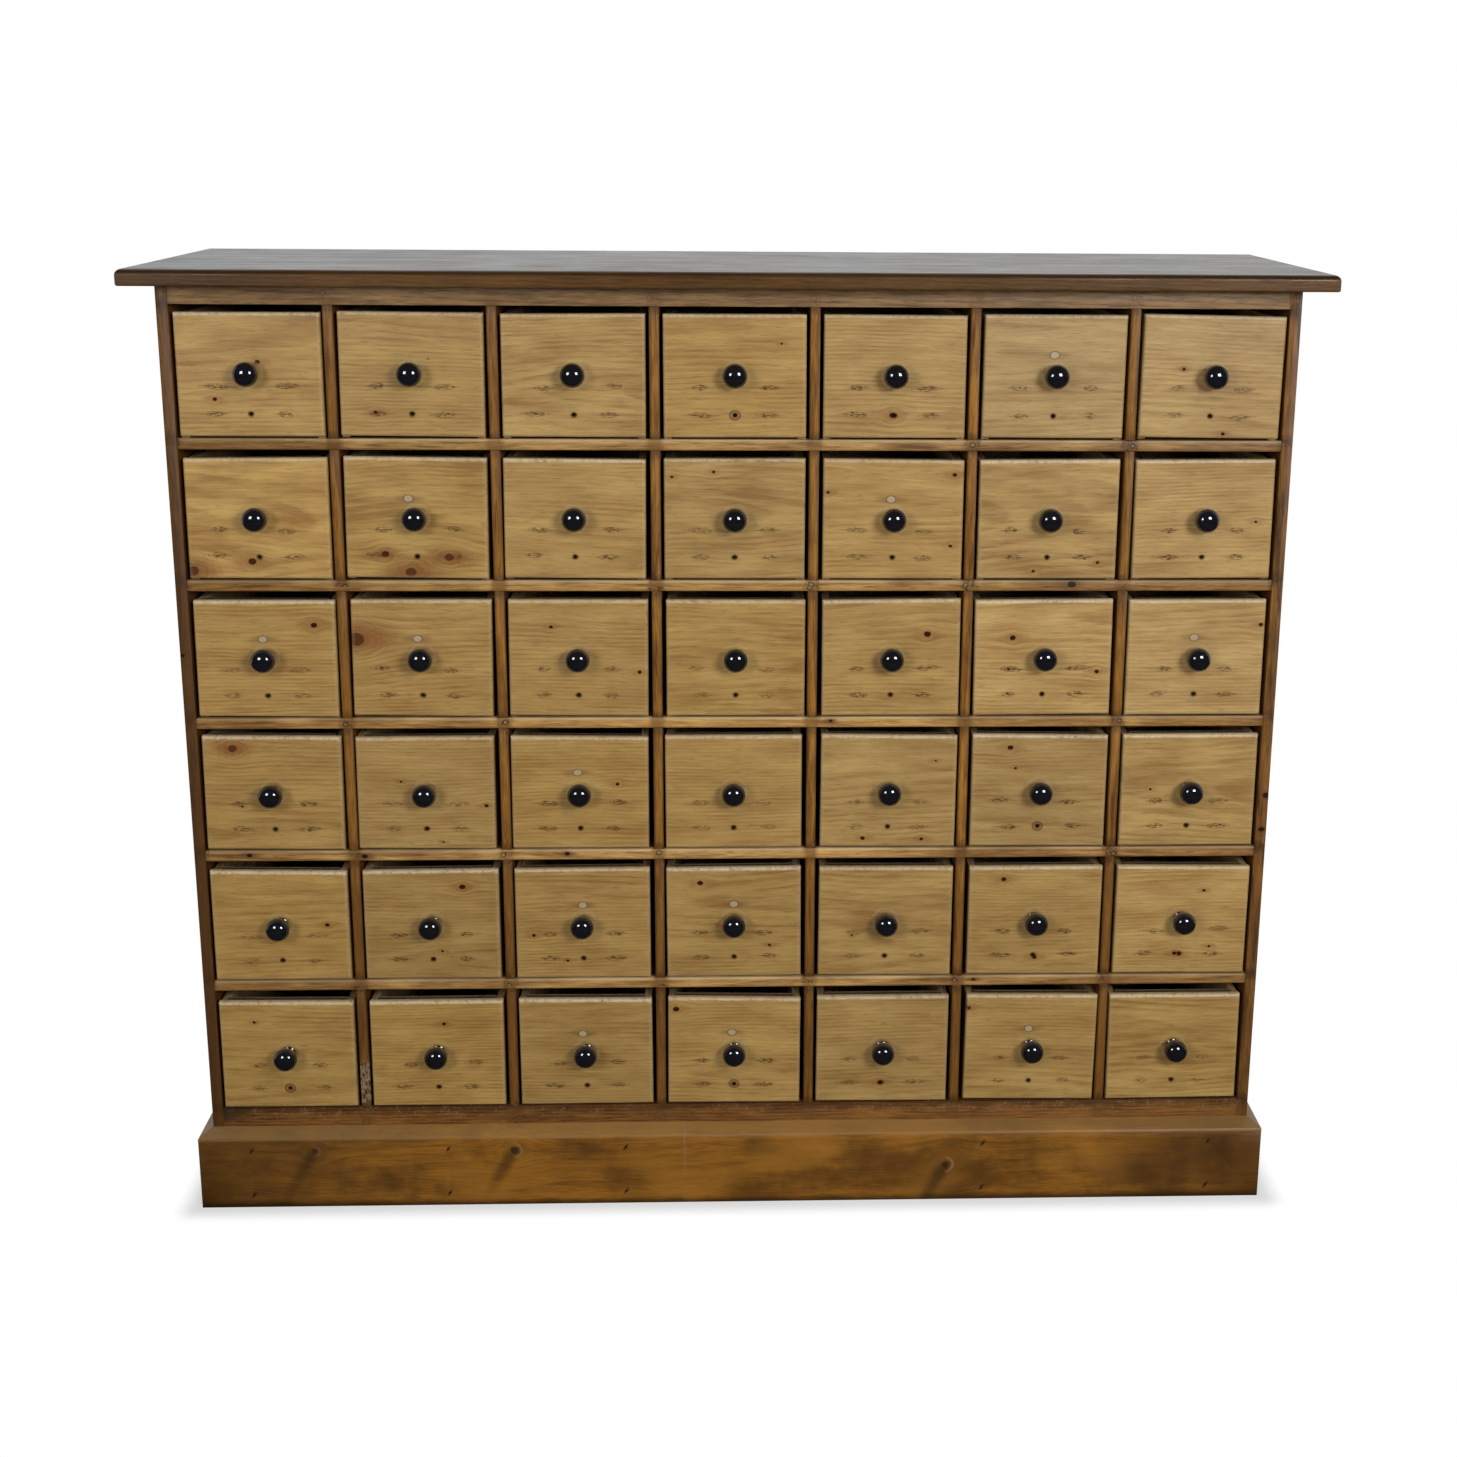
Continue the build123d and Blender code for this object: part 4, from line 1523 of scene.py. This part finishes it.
class MakeBack(bpy.types.Operator):
    """Makes the tongued back boards and the corner blocks."""

    bl_idname = "cabinet.back"
    bl_label = "Back and blocks"

    def execute(self, context):
        for seed, node in enumerate(("back_boards", "corner_blocks")):
            eased_copy(node, pine_raw(), "plain_pine", "zxy", 61 + seed, RAW_EASE)
        return {"FINISHED"}


class MakeDrawerFronts(bpy.types.Operator):
    """Makes the forty-two drawer fronts, each with its own timber and marks."""

    bl_idname = "cabinet.drawer_fronts"
    bl_label = "Drawer fronts"

    def execute(self, context):
        for row, column, rng in each_drawer():
            surface = front_surface(np.random.default_rng(row * 31 + column))
            surface = front_marks(row, column, surface, rng)
            drawer_piece("front", row, column, surface, pine_front(), "pale_pine")
        return {"FINISHED"}


class MakeDrawerBoxes(bpy.types.Operator):
    """Makes the sides, back and bottom panel of the forty-two drawers."""

    bl_idname = "cabinet.drawer_boxes"
    bl_label = "Drawer boxes"

    def execute(self, context):
        points, number, faces = box_boards()
        count = number.max() + 1
        offset = (points - middles(points, number)) / MM
        span = np.zeros((count, 3))
        np.maximum.at(span, number, np.abs(offset))
        grain = np.take_along_axis(offset, np.argsort(-span)[number], 1)
        for row, column, rng in each_drawer():
            surface = Surface(points, None, faces).marked(
                grain=grain + log_places(rng, count)[number],
                board=board_tones(rng, count)[number],
            )
            box = drawer_piece("box", row, column, surface, pine_raw(), "plain_pine")
            eased(box, BOX_EASE, 1)
        return {"FINISHED"}


class MakeKnobs(bpy.types.Operator):
    """Makes the forty-two turned knobs."""

    bl_idname = "cabinet.knobs"
    bl_label = "Knobs"

    def execute(self, context):
        profile = knob_profile(sizes().knob_radius, sizes().knob_reach)
        knob = turned(profile, np.array([0.0, 0.0, (FOOT_GAP + FRONT_HALF[1] + KNOB_RISE) * MM]))
        for row, column, _ in each_drawer():
            drawer_piece("knob", row, column, knob, knob_lacquer(), "knob_black")
        return {"FINISHED"}


class MakeStage(bpy.types.Operator):
    """Makes the pale floor, the studio light and the camera."""

    bl_idname = "cabinet.stage"
    bl_label = "Stage"

    def execute(self, context):
        flat_floor(9.0)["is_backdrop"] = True
        for lamp in LAMPS:
            soft_lamp(*lamp)
        pale_world()
        aim_camera()
        bpy.context.scene.view_settings.view_transform = "Standard"
        return {"FINISHED"}


# Lamps: the name, the place, the side and power in metres and watts, and the kinds of ray
# that don't see it.
LAMPS = (
    ("left_lamp", (-1.75, -2.9, 1.75), 0.9, 33, ()),
    ("right_lamp", (1.45, -2.8, 1.85), 0.9, 52, ()),
    ("high_lamp", (0.3, -1.3, 3.2), 2.4, 14, ("glossy",)),
    ("back_lamp", (0.5, 3.0, 0.55), 1.1, 46, ("glossy", "camera")),
)
LAMP_AIM = (0.0, 0.0, 0.62)

# The camera as fitted to the photograph: its place, pitch, yaw and roll, and, in the
# picture's own dots, the focal length and the point that it looks at from the top left.
EYE = (0.00007, FACE_Y - 2.204595, 1.357492)
PITCH_DOWN, YAW, ROLL = 0.23143, 0.03596, 0.00809
PICTURE = 1457
FOCAL = 1873.28
CENTRE = (800.489, 572.676)
SENSOR = 36


def flat_floor(half):
    """A square floor, white to the camera but for a band close round the cabinet's foot, where its
    grey shows: partly the cabinet's real shadow and partly painted shadow, since the grey is darker
    than white even where lit.

    What lights the cabinet from it is grey, so that the undersides aren't too pale. Gloss
    sees it white only behind the cabinet and near black before it.
    """
    mesh = bpy.data.meshes.new("studio_floor")
    corners = np.array([[-1, -1, 0], [1, -1, 0], [1, 1, 0], [-1, 1, 0]], float) * half
    mesh.from_pydata(corners.tolist(), [], [[0, 1, 2, 3]])
    floor = bpy.data.objects.new("studio_floor", mesh)
    bpy.context.scene.collection.objects.link(floor)
    paint = Paint("white_floor")
    x, y, _ = paint.object_point()
    away = distance(most(abs(x) - 0.69, 0.0), most(abs(y) - 0.175, 0.0))
    # Painted shadow in part: near the foot the floor mixes in its grey, darker than white even in
    # full light, and with it the real shadow.
    near = rise(away, 0.035, 0.0) * 0.4
    camera = paint.add("ShaderNodeLightPath", {}, (), "Is Camera Ray")
    gloss = camera.out("Is Glossy Ray")
    around = rise(y, 0.15, 0.45)
    shown = most(camera, camera.out("Is Transmission Ray"))
    shown = most(shown * (1 - near), gloss * around)
    grey = 0.40 - gloss * (1 - around) * 0.36
    plain = paint.add("ShaderNodeBsdfDiffuse", {}, {"Color": paint.join(grey, grey, grey)}, "BSDF")
    glow = {"Color": (1.0, 1.0, 1.0), "Strength": 1.0}
    white = paint.add("ShaderNodeEmission", {}, glow, "Emission")
    shader = paint.add("ShaderNodeMixShader", {}, (shown, plain, white), "Shader")
    mesh.materials.append(paint.output(shader))
    return floor


def soft_lamp(name, place, size, watts, unseen):
    """A square soft box that looks at the middle of the cabinet."""
    lamp = bpy.data.lights.new(name, "AREA")
    lamp.shape = "SQUARE"
    lamp.size = size
    lamp.energy = watts
    item = bpy.data.objects.new(name, lamp)
    bpy.context.scene.collection.objects.link(item)
    item.matrix_world = looking(np.array(place) - np.array(LAMP_AIM), place)
    for rays in unseen:
        setattr(item, "visible_" + rays, False)


def looking(back, place, roll=0.0):
    """The matrix of a lamp or camera whose +Z axis is back, turned by roll."""
    back = back / np.linalg.norm(back)
    right = np.cross([0.0, 0.0, 1.0], back)
    right /= np.linalg.norm(right)
    up = np.cross(back, right)
    first = math.cos(roll) * right + math.sin(roll) * up
    second = -math.sin(roll) * right + math.cos(roll) * up
    matrix = np.eye(4)
    matrix[:3, 0], matrix[:3, 1], matrix[:3, 2], matrix[:3, 3] = first, second, back, place
    return Matrix(matrix.tolist())


def pale_world():
    """White to the camera, and to gloss behind the cabinet; a soft pale fill for the rest."""
    world = bpy.data.worlds.new("studio")
    bpy.context.scene.world = world
    world.use_nodes = True
    paint = Paint("studio", world.node_tree)
    _, y, _ = paint.split(paint.add("ShaderNodeTexCoord", {}, (), "Generated"))
    camera = paint.add("ShaderNodeLightPath", {}, (), "Is Camera Ray")
    gloss = camera.out("Is Glossy Ray")
    seen = most(camera, camera.out("Is Transmission Ray"))
    seen = most(seen, gloss * rise(y, -0.15, 0.35))
    strength = seen + (1 - seen) * (0.15 - gloss * 0.12)
    tint = paint.mix(gloss, (1.0, 1.0, 1.0), (0.90, 0.96, 1.0))
    sky = paint.add("ShaderNodeBackground", {}, {"Color": tint, "Strength": strength}, "Background")
    paint.output(sky, "ShaderNodeOutputWorld")


def aim_camera():
    """The camera at the photograph's viewing angle."""
    flat = math.cos(PITCH_DOWN)
    forward = np.array([math.sin(YAW) * flat, math.cos(YAW) * flat, -math.sin(PITCH_DOWN)])
    camera = bpy.data.cameras.new("camera")
    camera.sensor_width = SENSOR
    camera.lens = FOCAL / PICTURE * SENSOR
    camera.shift_x = -(CENTRE[0] - PICTURE / 2) / PICTURE
    camera.shift_y = (CENTRE[1] - PICTURE / 2) / PICTURE
    item = bpy.data.objects.new("camera", camera)
    bpy.context.scene.collection.objects.link(item)
    item.matrix_world = looking(-forward, EYE, ROLL)
    bpy.context.scene.camera = item


STEPS = (
    MakeTopBoard,
    MakeCrossBoards,
    MakeUprights,
    MakePlinth,
    MakeBack,
    MakeDrawerFronts,
    MakeDrawerBoxes,
    MakeKnobs,
    MakeStage,
)


class CabinetPanel(bpy.types.Panel):
    """Lists the cabinet's parts, sizes and colours."""

    bl_idname = "VIEW3D_PT_cabinet"
    bl_label = "Seed storage cabinet"
    bl_space_type = "VIEW_3D"
    bl_region_type = "UI"
    bl_category = "Cabinet"

    def draw(self, context):
        for step in STEPS:
            self.layout.operator(step.bl_idname)
        for group in (context.scene.cabinet_sizes, context.scene.cabinet_colours):
            column = self.layout.column(align=True)
            for name in group.__annotations__:
                column.prop(group, name)


CLASSES = (CabinetSizes, CabinetColours, *STEPS, CabinetPanel)


def register():
    """Registers the classes and the scene's settings."""
    for item in CLASSES:
        bpy.utils.register_class(item)
    bpy.types.Scene.cabinet_sizes = bpy.props.PointerProperty(type=CabinetSizes)
    bpy.types.Scene.cabinet_colours = bpy.props.PointerProperty(type=CabinetColours)


def unregister():
    """Takes the settings and classes away again."""
    del bpy.types.Scene.cabinet_colours
    del bpy.types.Scene.cabinet_sizes
    for item in reversed(CLASSES):
        bpy.utils.unregister_class(item)


def main():
    register()
    for step in STEPS:
        group, name = step.bl_idname.split(".")
        getattr(getattr(bpy.ops, group), name)()
    boxes = {"cad": CAD_BOUNDS, "visual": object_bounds()}
    plain = {key: [list(map(float, corner)) for corner in box] for key, box in boxes.items()}


if __name__ == "__main__":
    main()
